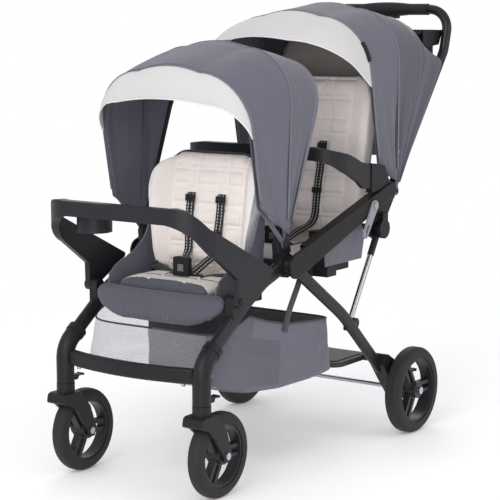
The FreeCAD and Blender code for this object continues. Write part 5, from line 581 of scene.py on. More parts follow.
# %% The front canopy's cloth
front_pin = place(0, 305, 537)
front_knee = place(0, 205, 632)
front_top = place(0, 150, 944)
front_up = unit(front_top - front_knee)
front_ahead = np.array([0.0, -front_up[2], front_up[1]])
front_reach = float(np.linalg.norm(front_top - front_knee)) + CLOTH
hoops = [standing(arch(FRONT_HALF, FRONT_ARCH, HOOP_START), front_pin, tilt(HOOP_LEAN)),
         standing(arch(FRONT_HALF, FRONT_ARCH, HOOP_START), front_pin, tilt(87.0)),
         standing(arch(FRONT_HALF, front_reach), front_knee + front_ahead * 0.006, front_up)]
front_grid = creased(stretched(hoops, 15, (0.0012, 0.0022), 1.0), front_pin, 0.008, (13, 23, 37), 3)
front_canopy = walled(draped("front_canopy_sheet", front_grid, grey_cloth), SHEET_WALL, -1.0)
print("front canopy cloth area", round(area_of(front_canopy), 3))


# %% Tapes along the hoops, with the seam that the photograph shows down the side
TAPE_PROUD, TAPE_THICK = 0.0006, 0.0008


def hoop_tape(name, hoop, pivot, width, finish):
    """A thin tape on the cloth along a hoop; out is away from the middle of the canopy."""
    line = hoop[1:-1]
    centre = np.stack([line[:, 0] * 0.25, line[:, 1], np.full(len(line), pivot[2] + 0.20)], -1)
    out = unit(line - centre)
    out[:, 1] = 0
    return strap(name, line + out * TAPE_PROUD, unit(out), width, TAPE_THICK, finish, count=len(line))


front_seam = hoop_tape("front_canopy_seam", hoops[1], front_pin, 0.007, binding_grey)
front_edge = hoop_tape("front_canopy_edge", hoops[2] + np.array([0, 0.002, 0]), front_pin, 0.009,
                       binding_grey)
front_rear_edge = hoop_tape("front_canopy_rear_edge", hoops[0], front_pin, 0.012, binding_grey)

# %% [markdown]
# ## A visor
# The white visor is a crescent that is sewn to the front hoop and stiffened along its lip. Both edges are
# arches that share their two ends, so the surface between them is a blend that bulges a little outwards.

# %% A crescent between a seam arch and a lip arch
def visor(name, knee, up, ahead, top_reach, end, lip, half_width, bulge):
    """Two arches from one foot line: share 0 is the seam and 1 the lip, and between them it bulges."""
    first = float((end - knee) @ up)
    base = knee + up * first + ahead * 0.0064
    seam = standing(arch(half_width, top_reach - first), base, up)
    lip_up = unit(lip - base)
    lip_line = standing(arch(half_width, float(np.linalg.norm(lip - base))), base,
                        lip_up) + np.array([0, -CLOTH, 0])
    share = np.linspace(0, 1, 14)[:, None, None]
    flat = seam[None] * (1 - share) + lip_line[None] * share
    swell = unit(np.cross(lip_line - seam, ACROSS))
    swell = np.where(swell[:, 2:] < 0, -swell, swell)
    wide = np.linalg.norm(lip_line - seam, axis=-1)[None, :, None]
    grid = flat + swell[None] * np.sin(math.pi * share) * np.minimum(bulge, wide * 0.10)
    return walled(draped(name, grid, white_cloth), 0.0016, -1.0), lip_line


front_visor, front_visor_lip = visor(
    "front_visor_sheet", front_knee, front_up, front_ahead, front_reach, place(0, 166, 786),
    place(0, 112, 872), FRONT_HALF, 0.008)
front_lip_piping = cord_round("front_visor_piping", front_visor_lip[1:-1], 0.0016, binding_white, count=90)

# %% [markdown]
# ## The rear canopy
# The rear canopy is the same idea one size larger. Its rear hoop is sewn to the handle. Behind it two side
# pieces close the hood down to the parent tray, and a curtain with a lining closes its back. The panel behind
# the rear pin, the side pieces and the curtain take a darker copy of the grey cloth, as painted shade.

# %% The rear canopy's cloth, side pieces, curtain and visor
rear_pin = place(0, 804, 611)
rear_knee = place(0, 724, 670)
rear_top = place(0, 648, 1062)
rear_up = unit(rear_top - rear_knee)
rear_ahead = np.array([0.0, -rear_up[2], rear_up[1]])
rear_reach = float(np.linalg.norm(rear_top - rear_knee)) + CLOTH
rear_hoops = [standing(arch(REAR_HALF, REAR_ARCH, HOOP_START), rear_pin, tilt(HOOP_LEAN)),
              standing(arch(REAR_HALF, REAR_ARCH, HOOP_START), rear_pin, tilt(90.0)),
              standing(arch(REAR_HALF, rear_reach), rear_knee + rear_ahead * 0.006, rear_up)]
rear_grid = creased(stretched(rear_hoops, 15, (0.0015, 0.0025), 1.0), rear_pin, 0.008, (13, 21, 35), 8)
rear_canopy = draped("rear_canopy_sheet", rear_grid, grey_cloth)
# The faces behind the rear pin take the darker copy of the grey: painted shade on the panel that turns away from
# the lamps.
rear_canopy.data.materials.append(shaded_canopy_cloth)
behind = rows_of(rear_canopy.data.polygons, "center")[:, 1] > rear_pin[1]
rear_canopy.data.polygons.foreach_set("material_index", behind.astype(int))
walled(rear_canopy, SHEET_WALL, -1.0)
print("rear canopy cloth area", round(area_of(rear_canopy), 3))


def side_piece(name, sign):
    """Between the rear hoop's side and a rounded edge nearer the handle, each followed up and round its bend."""
    def line(up, side_top, bend, sweep):
        a = np.linspace(0, 1, 12, endpoint=False)
        straight = np.stack([np.full_like(a, REAR_HALF), HOOP_START + (side_top - HOOP_START) * a], -1)
        b = np.linspace(0, sweep, 10)
        turned = np.stack([REAR_HALF - bend + bend * np.cos(b), side_top + bend * np.sin(b)], -1)
        outline = np.vstack([straight, turned]) * [sign, 1]
        return standing(outline, rear_pin, up)
    first = line(tilt(HOOP_LEAN), 0.3264, 0.130, math.acos(98.4 / 130.0))
    last = line(tilt(54.5), 0.3734, 0.0316, math.pi / 2)
    share = np.linspace(0, 1, 10)[:, None, None]
    flat = first[None] * (1 - share) + last[None] * share
    flat[..., 0] -= sign * 0.004 * np.sin(math.pi * share[..., 0]) ** 2
    # The side pieces take the darker grey: painted shade.
    return walled(draped(name, creased(flat, rear_pin, 0.004, (23, 37), 5), shaded_canopy_cloth, flip=sign < 0),
                  SHEET_WALL, 1.0)


near_side = side_piece("rear_canopy_side_near", 1)
far_side = side_piece("rear_canopy_side_far", -1)


def back_curtain(name, low, ahead, finish):
    """The cloth that closes the back of the hood: level rows from side to side of the rear hoop."""
    near = rear_hoops[0][:31] - rear_pin
    near = near[near @ tilt(HOOP_LEAN) > low]
    near[-1, 0] = 0.0005
    across = np.linspace(1, -1, 25)[None, :, None]
    rows = rear_pin + near[:, None] * [0, 1, 1] + near[:, None] * [0.985, 0, 0] * across
    rows = rows + (ahead - 0.010 * (1 - across ** 2)) * np.array([0.0, -0.931, 0.365])
    return walled(draped(name, rows, finish), SHEET_WALL, 0.0)


# The curtain's outer cloth is the darker grey: painted shade behind the rear back.
curtain = back_curtain("rear_canopy_curtain", 0.07, 0.022, shaded_canopy_cloth)
# Its lining is the pad's cream painted darker: painted shade inside the hood.
curtain_lining = back_curtain("rear_canopy_curtain_lining", 0.07, 0.025, shaded_cream_lining)
tab_line = rear_hoops[2][11:15]
canopy_tab = strap("rear_canopy_tab", tab_line + np.array([0.003, -0.0045, 0.0015]),
                   np.array([0.86, -0.50, 0.1]), 0.011, 0.0014, black_webbing_plain, count=12)
rear_seam = hoop_tape("rear_canopy_seam", rear_hoops[1], rear_pin, 0.007, binding_grey)
rear_edge = hoop_tape("rear_canopy_edge", rear_hoops[2] + np.array([0, 0.002, 0]), rear_pin, 0.009,
                      binding_grey)
rear_visor, rear_visor_lip = visor(
    "rear_visor_sheet", rear_knee, rear_up, rear_ahead, rear_reach, place(0, 672, 876), place(0, 492, 1002),
    REAR_HALF, 0.010)
rear_lip_piping = cord_round("rear_visor_piping", rear_visor_lip[1:-1], 0.0016, binding_white, count=90)

# %% What the canopy's edges, visors, tab, side pieces and curtains move with; the sheets and seams stay put
for piece in (front_canopy, front_seam):
    front_knee + front_up * 0.22
    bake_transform(piece)
for piece in (front_edge, front_visor, front_lip_piping):
    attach(piece, "front_bow_front")
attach(front_rear_edge, "frame")
for piece in (rear_canopy, rear_seam):
    rear_knee + rear_up * 0.26
    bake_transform(piece)
for piece in (rear_edge, rear_visor, rear_lip_piping, canopy_tab):
    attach(piece, "rear_bow_front")
for piece in (near_side, far_side, curtain, curtain_lining):
    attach(piece, "handle")
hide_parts("front_canopy_cloth")
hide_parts("front_canopy_visor")
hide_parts("rear_canopy_cloth")
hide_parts("rear_canopy_visor")


# The bows lie in sleeves of a cloth a little darker than the canopy.
bow_sleeve = woven("bow_sleeve_cloth", paint(92, 91, 103), on_sheet=False)
for name in ("front_canopy_middle_bow", "front_canopy_front_bow", "rear_canopy_middle_bow",
             "rear_canopy_front_bow"):
    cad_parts[name].data.materials.clear()
    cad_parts[name].data.materials.append(bow_sleeve)

# %% [markdown]
# ## Padded pieces
# A pad is two layers of cloth with foam between. It is made first as a closed form a little smaller than
# the real one, whose section is a rounded slab at every height. Then it is remeshed, and a short cloth
# simulation with air pressure inside swells it, so that it crowns in the middle and draws in at the edge.
# Seams come last, as grooves pressed into the swollen skin.

# %% A closed slab along a line
def slab(name, foot, up, out, heights, half_widths, fronts, backs, finish, power=4.0, around=72):
    """Section at each height: a superellipse, flat where its power is high; the end sections shrink to nothing."""
    turn = np.linspace(0, 2 * math.pi, around, endpoint=False)
    bulge = lambda s: np.sign(s) * np.abs(s) ** (2 / power)
    x, d = bulge(np.cos(turn)), bulge(np.sin(turn))
    heights, half_widths = np.asarray(heights, float), np.asarray(half_widths, float)
    depth = np.where(d[None] > 0, d[None] * np.asarray(fronts)[:, None],
                     d[None] * np.asarray(backs)[:, None])
    points = foot + heights[:, None,
                            None] * up + (half_widths[:,
                                                      None] * x[None])[..., None] * ACROSS + depth[...,
                                                                                                   None] * out
    piece = draped(name, points, finish, wrap=True)
    closed_ends(piece)
    return piece


def rounded_ends(count, low, high, sharp=5.0):
    """Heights from low to high and the share of the full section there, which falls to a tenth at both ends."""
    t = np.sin(np.linspace(-math.pi / 2, math.pi / 2, count))
    return low + (high - low) * (t + 1) / 2, np.clip((1 - np.abs(t) ** sharp), 0, 1) ** (1 / sharp)


SWELL_STEPS = 20


def swollen(piece, voxel=0.005, pressure=4.0, cap=0.006):
    """Remesh, swell with the Cloth modifier, keep each point within the cap of where it began, and smooth."""
    remesh = piece.modifiers.new("remesh", "REMESH")
    remesh.mode = "VOXEL"
    remesh.voxel_size = voxel
    apply_modifiers(piece)
    before = rows_of(piece.data.vertices, "co")
    cloth = piece.modifiers.new("air", "CLOTH")
    cloth.settings.use_pressure = True
    cloth.settings.uniform_pressure_force = pressure
    cloth.settings.effector_weights.gravity = 0.0
    cloth.settings.quality = 4
    scene = bpy.context.scene
    for step in range(1, SWELL_STEPS + 1):
        scene.frame_set(step)
    evaluated = piece.evaluated_get(bpy.context.evaluated_depsgraph_get())
    after = rows_of(evaluated.data.vertices, "co")
    piece.modifiers.remove(cloth)
    scene.frame_set(1)
    moved = after - before
    size = np.linalg.norm(moved, axis=1, keepdims=True)
    moved *= np.minimum(1, cap / np.maximum(size, 1e-9))
    piece.data.vertices.foreach_set("co", (before + moved).ravel())
    finer = piece.modifiers.new("finer", "SUBSURF")
    finer.levels = finer.render_levels = 1
    apply_modifiers(piece)
    piece.data.shade_smooth()
    print(piece.name, "swelled by up to", round(float(size.max()) * 1000, 1), "mm",
          len(piece.data.polygons), "faces")
    return piece


def apply_modifiers(piece):
    """The mesh as its modifiers leave it."""
    graph = bpy.context.evaluated_depsgraph_get()
    graph.update()
    mesh = bpy.data.meshes.new_from_object(piece.evaluated_get(graph))
    piece.modifiers.clear()
    old = piece.data
    piece.data = mesh
    bpy.data.meshes.remove(old)


def pressed(piece, foot, up, out, groove):
    """Move the front skin along out by groove(across, height), less where the skin turns to the side."""
    co, normal = rows_of(piece.data.vertices, "co"), rows_of(piece.data.vertices, "normal")
    across, height = co[:, 0], (co - foot) @ up
    facing = np.clip((normal @ out - 0.15) / 0.5, 0, 1)
    co += out * (groove(across, height) * facing)[:, None]
    piece.data.vertices.foreach_set("co", co.ravel())
    piece.data.update()


def notch(distance, width):
    return np.exp(-(distance / width) ** 2)


# %% [markdown]
# ## The quilted backs
# The cream lining is stitched in a windowpane: two narrow upright channels where the shoulder straps lie,
# and narrow level channels at even heights, so that broad soft squares stand between them.

# %% The windowpane of stitches
# Half the distance between the two straps, and how deep or high each line of the quilting is.
CHANNEL = 0.044
STITCH_DEPTH, SEAM_DEPTH, SQUARE_RISE = 0.0036, 0.007, 0.0055


def windowpane(wing_seam, channel, narrow, pitch, level, first):
    """Depth of the skin: grooves at each stitched line, and a soft rise in the middle of each broad square."""
    def groove(across, height):
        a = np.abs(across)
        lines = notch(a - channel + narrow / 2, 0.0032) + notch(a - channel - narrow / 2, 0.0032)
        inside = np.clip((wing_seam - a) / 0.004, 0, 1)
        k = (height - first) / pitch
        near = np.abs(k - np.round(k)) * pitch
        levels = notch(near - level / 2, 0.0030) * inside
        seam = notch(a - wing_seam, 0.0036)
        square = (1 - notch(near, 0.014)) * (1 - notch(a - channel, 0.018)) * inside
        return -STITCH_DEPTH * np.minimum(1, lines + levels) - SEAM_DEPTH * seam + SQUARE_RISE * square
    return groove


def seat_back(name, foot, lean, low, high, half_width, shares, board, front, finish):
    up, out = tilt(lean), np.array([0.0, -math.sin(math.radians(lean)), math.cos(math.radians(lean))])
    heights, share = rounded_ends(40, low, high, 6.0)
    at = (heights - low) / (high - low)
    wide = half_width * np.interp(at, [s[0] for s in shares],
                                  [s[1] for s in shares]) * (0.80 + 0.20 * share)
    deep = front * share
    piece = slab(name, foot, up, out, heights, wide - 0.004, np.maximum(deep - 0.004, 0.001),
                 np.maximum(board * share, 0.001), finish, 5.0)
    swollen(piece, 0.005, 4.0, 0.005)
    return piece, up, out


def winged(rise, start, end):
    """The outer part of the back stands forward as a side wing, from start to end across."""
    def lift(across, height):
        t = np.clip((np.abs(across) - start) / (end - start), 0, 1)
        return rise * t * t * (3 - 2 * t)
    return lift


back_shares = [(0.0, 0.84), (0.3, 0.90), (0.5, 0.96), (0.68, 1.0), (0.82, 0.96), (0.93, 0.82), (1.0, 0.64)]
FRONT_LEAN, REAR_LEAN = 81.3, 79.0
front_foot = place(0, 280, 452)
front_back, back_up, back_out = seat_back("front_back_pad", front_foot, FRONT_LEAN, 0.006, 0.289, 0.164,
                                          back_shares, 0.013, 0.020, cream_pad)
pressed(front_back, front_foot, back_up, back_out, winged(0.037, 0.098, 0.146))
pressed(front_back, front_foot, back_up, back_out, windowpane(0.102, CHANNEL, 0.028, 0.046, 0.012, 0.066))
rear_foot = place(0, 700, 500)
rear_shares = [(0.0, 0.94), (0.3, 0.98), (0.6, 1.0), (0.85, 1.0), (0.95, 0.90), (1.0, 0.78)]
rear_back, rear_back_up, rear_back_out = seat_back("rear_back_pad", rear_foot, REAR_LEAN, 0.002, 0.408,
                                                   0.184, rear_shares, 0.013, 0.022, cream_pad)
pressed(rear_back, rear_foot, rear_back_up, rear_back_out, winged(0.018, 0.118, 0.172))
pressed(rear_back, rear_foot, rear_back_up, rear_back_out,
        windowpane(0.116, CHANNEL, 0.028, 0.050, 0.013, 0.050))
for piece, body, node in ((front_back, "front_back", "front_backrest"),
                          (rear_back, "handle", "rear_backrest")):
    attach(piece, body)
    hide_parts(node)


# %% The bindings of the backs, laid along the rim of each swollen pad
def eased(line):
    """Three passes, each of which draws every inner point halfway to the middle of its neighbours."""
    for _ in range(3):
        line[1:-1] = line[1:-1] * 0.5 + (line[:-2] + line[2:]) * 0.25
    return line


def rim_of(piece, foot, up, out, lean_out, low, high, count=34):
    """The outermost points of the near side from low to high, where out counts by the share lean_out."""
    co = rows_of(piece.data.vertices, "co")
    height, ahead = (co - foot) @ up, (co - foot) @ out
    score = co[:, 0] + lean_out * ahead
    line = []
    for level in np.linspace(max(low, height.min() + 0.004), min(high, height.max() - 0.004), count):
        near = np.flatnonzero((np.abs(height - level) < 0.006) & (co[:, 0] > 0))
        line.append(co[near[np.argmax(score[near])]])
    return eased(np.array(line))


def wing_piping(name, piece, foot, up, out, low, high, radius, finish, body):
    """White piping on the outer edge of each side wing."""
    near = rim_of(piece, foot, up, out, 0.75, low, high) + ACROSS * 0.0004 + out * 0.0006
    whole = joined(name, [cord_round(name, near * [sign, 1, 1], radius, finish,
                                     count=90) for sign in (1, -1)])
    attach(whole, body)
    return whole


def top_binding(name, piece, foot, up, out, start, high, radius, finish, body):
    """A dark edge over the top, from side to side."""
    near = rim_of(piece, foot, up, out, -0.2, start, high - 0.004, 10)
    co = rows_of(piece.data.vertices, "co")
    height = (co - foot) @ up
    top = []
    for across in np.linspace(near[-1, 0] * 0.92, 0, 12):
        close = np.flatnonzero(np.abs(co[:, 0] - across) < 0.008)
        top.append(co[close[np.argmax(height[close])]] * [0, 1, 1] + ACROSS * across)
    half = eased(np.vstack([near, top]))
    return cord_round(name, np.vstack([half, half[-2::-1] * [-1, 1, 1]]) + up * 0.001, radius, finish,
                      count=150, body=body)


wing_piping("front_back_piping", front_back, front_foot, back_up, back_out, 0.016, 0.262, 0.0022,
            binding_white, "front_back")
top_binding("front_back_binding", front_back, front_foot, back_up, back_out, 0.262, 0.294, 0.0045,
            binding_dark, "front_back")
top_binding("rear_back_binding", rear_back, rear_foot, rear_back_up, rear_back_out, 0.340, 0.414, 0.0030,
            binding_grey, "handle")


def lined(piece, finish, chosen):
    """The faces that chosen(centres, normals) picks take another lining."""
    piece.data.materials.append(finish)
    faces = piece.data.polygons
    kind = np.zeros(len(faces), int)
    faces.foreach_get("material_index", kind)
    kind[chosen(rows_of(faces, "center"), rows_of(faces, "normal"))] = len(piece.data.materials) - 1
    faces.foreach_set("material_index", kind)


lined(front_back, white_satin, lambda c, n: (np.abs(c[:, 0]) > 0.132) & (n[:, 0] * np.sign(c[:, 0]) > 0.30))
lined(front_back, grey_pad, lambda _, n: n @ back_out < -0.25)
lined(rear_back, grey_pad, lambda _, n: n @ rear_back_out < -0.25)


def lathed(name, profile, centre, axis, finish, body=None, around=40):
    """A turned piece: a profile of (radius, along) carried round an axis, with both ends on the axis."""
    axis = unit(np.asarray(axis, float))
    guide = np.array([0.0, 0.0, 1.0]) if abs(axis[2]) < 0.9 else np.array([0.0, 1.0, 0.0])
    side = unit(np.cross(axis, guide))
    other = np.cross(axis, side)
    turn = np.linspace(0, 2 * math.pi, around, endpoint=False)
    ring = side[None] * np.cos(turn)[:, None] + other[None] * np.sin(turn)[:, None]
    profile = np.asarray(profile, float)
    points = centre + profile[:, None, :1] * ring[None] + profile[:, None, 1:] * axis
    piece = draped(name, points, finish, wrap=True)
    closed_ends(piece)
    if body:
        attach(piece, body)
    return piece


ears = []
for sign in (-1, 1):
    centre = front_foot + ACROSS * (0.1396 if sign > 0 else -0.1456)
    ring = [(0.0062, 0.0002), (0.0115, 0.0), (0.012, 0.0006), (0.012, 0.0054), (0.0115, 0.006),
            (0.0062, 0.0058)]
    ears.append(lathed("recline_ear", ring, centre, ACROSS, black_moulding))
    middle = front_foot + ACROSS * sign * 0.1426
    ears.append(strap("recline_arm",
                      [middle + back_up * 0.008, middle + back_up * 0.02, middle + back_up * 0.05],
                      back_out, 0.0058, 0.009, black_moulding, count=12))
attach(joined("front_recline_ears", ears), "front_back")
rear_bar_at = rear_foot + rear_back_up * 0.030 - rear_back_out * 0.015
bar_profile = [(0.0005, -0.175), (0.0080, -0.175), (0.0084, -0.174), (0.0084, 0.174), (0.0080, 0.175),
               (0.0005, 0.175)]
lathed("rear_back_bar", bar_profile, rear_bar_at, ACROSS, black_moulding, "handle")

# %% [markdown]
# ## Seat pads and the calf rest
# The two seat pads are low cushions with two sewn channels. The calf rest is a firmer pad in grey with a
# slight sheen, which hangs over the front edge of the seat.

# %% Seat pads
def seat_pad(name, half_width, front, depth, low, height, finish, body, node):
    foot = place(0, front, low + height * 0.45)
    heights, share = rounded_ends(30, 0.002, depth / 1000 - 0.002, 6.0)
    up, out = np.array([0.0, 1.0, 0.0]), np.array([0.0, 0.0, 1.0])
    wide = half_width / 1000 * (0.90 + 0.10 * share)
    piece = slab(name, foot, up, out, heights, wide - 0.003, np.maximum(height * 0.00062 * share, 0.001),
                 np.maximum(height * 0.00040 * share, 0.001), finish, 5.0)
    swollen(piece, 0.005, 4.0, 0.005)
    pressed(piece, foot, up, out, lambda a,
            h: -0.003 * notch(np.abs(a) - 0.052, 0.004) - 0.0022 * notch(h - depth / 2000, 0.004))
    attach(piece, body)
    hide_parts(node)
    return piece


front_pad = seat_pad("front_seat_cushion", 135.2, 108.8, 138.4, 430, 24, cream_pad, "frame",
                     "front_seat_pad")
lined(front_pad, grey_pad, lambda _, n: n[:, 1] < -0.30)
seat_pad("rear_seat_cushion", 150.8, 474.8, 172.4, 460, 24, cream_pad, "frame", "rear_seat_pad")

# %% The calf rest
calf_top, calf_low = place(0, 118, 436), place(0, 88, 366)
calf_up = unit(calf_top - calf_low)
calf_out = np.array([0.0, -calf_up[2], calf_up[1]])
heights, share = rounded_ends(30, -0.002, 0.080, 4.0)
at = (heights + 0.002) / 0.082
calf_wide = np.interp(at, (0.0, 0.12, 0.3, 0.5, 0.68, 0.85, 1.0),
                      (0.096, 0.132, 0.160, 0.178, 0.186, 0.184, 0.172))
calf = slab("calf_rest_pad", calf_low, calf_up, calf_out, heights,
            calf_wide * (0.94 + 0.06 * share) - 0.002, np.maximum(0.019 * share, 0.001),
            np.maximum(0.001 * share, 0.0008), grey_pad, 5.0, 112)
swollen(calf, 0.004, 4.0, 0.005)
pressed(calf, calf_low, calf_up, calf_out, lambda a,
        h: -0.0028 * notch(np.minimum(h - 0.006, 0.072 - h), 0.003)
        + 0.0010 * np.sin(a * 420) * notch(h - 0.012, 0.014))
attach(calf, "frame")
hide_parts("calf_rest")

# %% [markdown]
# ## The cloth beside the seats
# Between the seat and the arm of the tray a loose panel of cloth closes each side. It is cut with a curved
# upper edge, is pinned along the seat, and hangs with a few upright folds.

# %% Side panels
FRONT_SIDE = [(0.02, 0.0), (0.05, 0.10), (0.20, 0.18), (0.48, 0.25), (0.72, 0.37), (0.90, 0.61),
              (0.98, 0.55)]
REAR_SIDE = [(0.02, 0.11), (0.02, 0.24), (0.10, 0.46), (0.34, 0.56), (0.80, 0.52), (0.98, 0.30)]


def side_panel(name, table, last, front, depth, floor, rise, inner, sign, finish, folds=6.0, amount=0.006):
    """Rows rise from the seat to the panel's curved edge; the sideways wave grows towards the edge."""
    table = np.array(table)
    edge = smooth_path(np.column_stack([np.zeros(len(table)), table]), 48)[:, 1:]
    base = np.linspace(table[0], last, 48)
    share = np.linspace(0, 1, 24)[:, None, None]
    flat = base[None] * (1 - share) + edge[None] * share
    slant = flat[..., 0] * folds + flat[..., 1] * 2.2
    wave = amount * (np.sin(slant * 2 * math.pi + 0.7)
                     + 0.5 * np.sin(slant * 4.6 * math.pi + 2.1)) * share[...,
                                                                          0] * (1 - 0.3 * share[..., 0])
    x = sign * (inner + 0.0012 + np.abs(wave) * 0.6)
    points = np.stack([x, (flat[..., 0] * depth + front) / 1000 + CASTER_Y,
                       (flat[..., 1] * rise + floor) / 1000], -1)
    piece = walled(draped(name, points, finish, flip=sign < 0), SHEET_WALL, 0.0)
    rim = cord_round(name + "_rim", points[-1], 0.0018, binding_grey, count=70)
    return piece, rim


panels = []
for sign, hand in ((1, "near"), (-1, "far")):
    panels.append((*side_panel("front_side_panel_" + hand, FRONT_SIDE, (0.94, 0.0), 104, 199.5, 430, 290,
                               0.1524, sign, grey_cloth), "front_seat_pan"))
    panels.append((*side_panel("rear_side_panel_" + hand, REAR_SIDE, (0.92, 0.11), 470, 182, 434, 248,
                               0.2072, sign, grey_cloth, 2.0, 0.003), "rear_seat_pan"))
for piece, rim, carrier in panels:
    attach(piece, "frame")
    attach(rim, "frame")
    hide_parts("seat_side_cloths")

# %% The lining that runs on from each seat to its back
def gusset(name, half_width, first, last):
    share = np.linspace(0, 1, 8)[:, None, None]
    across = np.linspace(-1, 1, 25)[None, :, None] * half_width * ACROSS
    rows = first * (1 - share) + last * share + across
    rows[..., 2] -= 0.006 * np.sin(math.pi * share[..., 0])
    # The gusset takes the darker cream: painted shade in the fold between seat and back.
    piece = walled(draped(name, rows, shaded_cream_lining), 0.0014, 0.0)
    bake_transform(piece)


gusset("front_seat_gusset", 0.128, place(0, 246, 446), front_foot + back_up * 0.018)
gusset("rear_seat_gusset", 0.150, place(0, 646, 474), rear_foot + rear_back_up * 0.012)

# %% [markdown]
# ## Harness
# Each shoulder strap comes out of a slot high in the back, lies in its channel, and runs down to the
# buckle. Two lap straps come from the sides. Real webbing lies on what is under it, so each path keeps a
# millimetre above the pad.

# %% Straps, their slides and the covers of their slots
def cross_bar(name, middle, half, out, width, thickness):
    """A small moulded bar across a strap."""
    line = [middle - ACROSS * half, middle, middle + ACROSS * half]
    return strap(name, line, out, width, thickness, black_moulding, count=8)


def harness(name, foot, up, out, start, surface, buckle, node, hip_y):
    pieces = []
    for sign in (-1, 1):
        high = foot + up * start + ACROSS * sign * CHANNEL
        path = [high + out * (surface - 0.006) + up * 0.002, high + out * (surface + 0.001) - up * 0.006,
                high + out * (surface + 0.0012) - up * 0.05]
        bend = foot + up * (buckle[2] - foot[2] + 0.050) + ACROSS * sign * 0.0396 + out * (surface + 0.0012)
        path += [path[-1] * 0.5 + bend * 0.5, bend,
                 bend * 0.45 + (buckle + ACROSS * sign * 0.026 + np.array([0, 0.012, 0.012])) * 0.55,
                 buckle + ACROSS * sign * 0.024 + np.array([0, 0.008, 0.012])]
        pieces.append(strap("shoulder_strap", path, out, 0.022, 0.002, black_webbing, count=90))
        slide = high - up * 0.012 + out * (surface + 0.0035)
        pieces.append(cross_bar("strap_slot_cover", slide, 0.013, out, 0.016, 0.0045))
        middle = np.array(path[3]) + out * 0.0025
        pieces.append(cross_bar("strap_slide", middle, 0.0135, out, 0.014, 0.004))
        hip = np.array([sign * 0.128, hip_y + CASTER_Y, buckle[2] + 0.012])
        lap = [buckle + ACROSS * sign * 0.020 + np.array([0, 0.004, 0.006]),
               buckle + ACROSS * sign * 0.050 + np.array([0, 0.010, 0.0045]),
               buckle * 0.5 + hip * 0.5 + np.array([0, 0, -0.002]), hip]
        pieces.append(strap("lap_strap", lap, np.array([0.0, -0.35, 0.94]), 0.026, 0.0022,
                            black_webbing_plain, count=40))
    crotch = [buckle + np.array([0, -0.004, 0.006]), buckle + np.array([0, -0.014, 0.001]),
              buckle + np.array([0, -0.032, -0.0035])]
    pieces.append(strap("crotch_strap", crotch, np.array([0.0, -0.3, 0.95]), 0.022, 0.002, black_webbing,
                        count=20))
    whole = joined(name, pieces)
    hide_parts(node)
    return whole


front_buckle = place(0, 190, 455)
rear_buckle = place(0, 561, 485)
front_harness = harness("front_harness_straps", front_foot, back_up, back_out, 0.188, 0.0235, front_buckle,
                        "front_harness", 0.250)
rear_harness = harness("rear_harness_straps", rear_foot, rear_back_up, rear_back_out, 0.235, 0.0250,
                       rear_buckle, "rear_harness", 0.645)
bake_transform(front_harness)
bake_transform(rear_harness)

# %% [markdown]
# ## The basket
# The basket is a shallow tub of cloth. Its rim falls from a peak near the front legs to the back, its
# front wall leans back and is netting, and a window of netting is let into each side. The walls belly out
# a little, and the floor sags between its bindings.

# %% The tub as a grid: round the plan, and from the rim down to the middle of the floor
BASKET = dict(half=0.198, front=34.0, span=532.0, low=195.0, rise=193.0)
RIM = [(0.0, 0.83), (0.085, 0.83), (0.21, 0.95), (0.265, 1.0), (0.53, 0.79), (0.94, 0.69), (1.0, 0.68)]
SIDE_WALL = 0.15
BASE = [(0.0, 0.28), (0.12, 0.18), (0.33, 0.045), (0.65, 0.0), (1.0, 0.03)]


def basket_ring(level, count=160):
    """Plan at a level from 1 (rim) to 0 (floor): a rounded rectangle whose front leans back as it rises."""
    turn = np.linspace(0, 2 * math.pi, count, endpoint=False)
    bulge = lambda s, p: np.sign(s) * np.abs(s) ** (2 / p)
    x = bulge(np.sin(turn), 9.0) * BASKET["half"]
    y = (bulge(-np.cos(turn), 9.0) + 1) / 2
    front = 0.085 * level
    back = 1.0 - 0.06 * level
    a = front + (back - front) * y
    high = np.interp(a, *np.array(RIM).T)
    low = np.interp(a, *np.array(BASE).T)
    return x, a, high, low


def basket_points():
    rows = []
    for level in np.linspace(1, 0, 16):
        x, a, high, low = basket_ring(level)
        v = low + (high - low) * level
        belly = 1 - 0.035 * (1 - level) ** 2
        fold = (0.0028 * np.sin(a * 21 + level * 5 + x * 20)
                + 0.0016 * np.sin(a * 47 - level * 9)) * math.sin(math.pi * level)
        rows.append(np.stack([x * belly - np.sign(x) * np.abs(fold),
                              (a * BASKET["span"] + BASKET["front"]) / 1000 + CASTER_Y,
                              (v * BASKET["rise"] + BASKET["low"]) / 1000], -1))
    base = rows[-1]
    for inset in np.linspace(1, 0.02, 12)[1:]:
        centre_y = base[:, 1].mean()
        row = base.copy()
        row[:, 0] *= inset
        row[:, 1] = centre_y + (base[:, 1] - centre_y) * (0.25 + 0.75 * inset)
        a = (row[:, 1] - CASTER_Y) * 1000 - BASKET["front"]
        floor = np.interp(a / BASKET["span"], *np.array(BASE).T)
        row[:, 2] = (floor * BASKET["rise"] + BASKET["low"]) / 1000 + 0.003 * (1 - inset)
        rows.append(row)
    return np.array(rows)


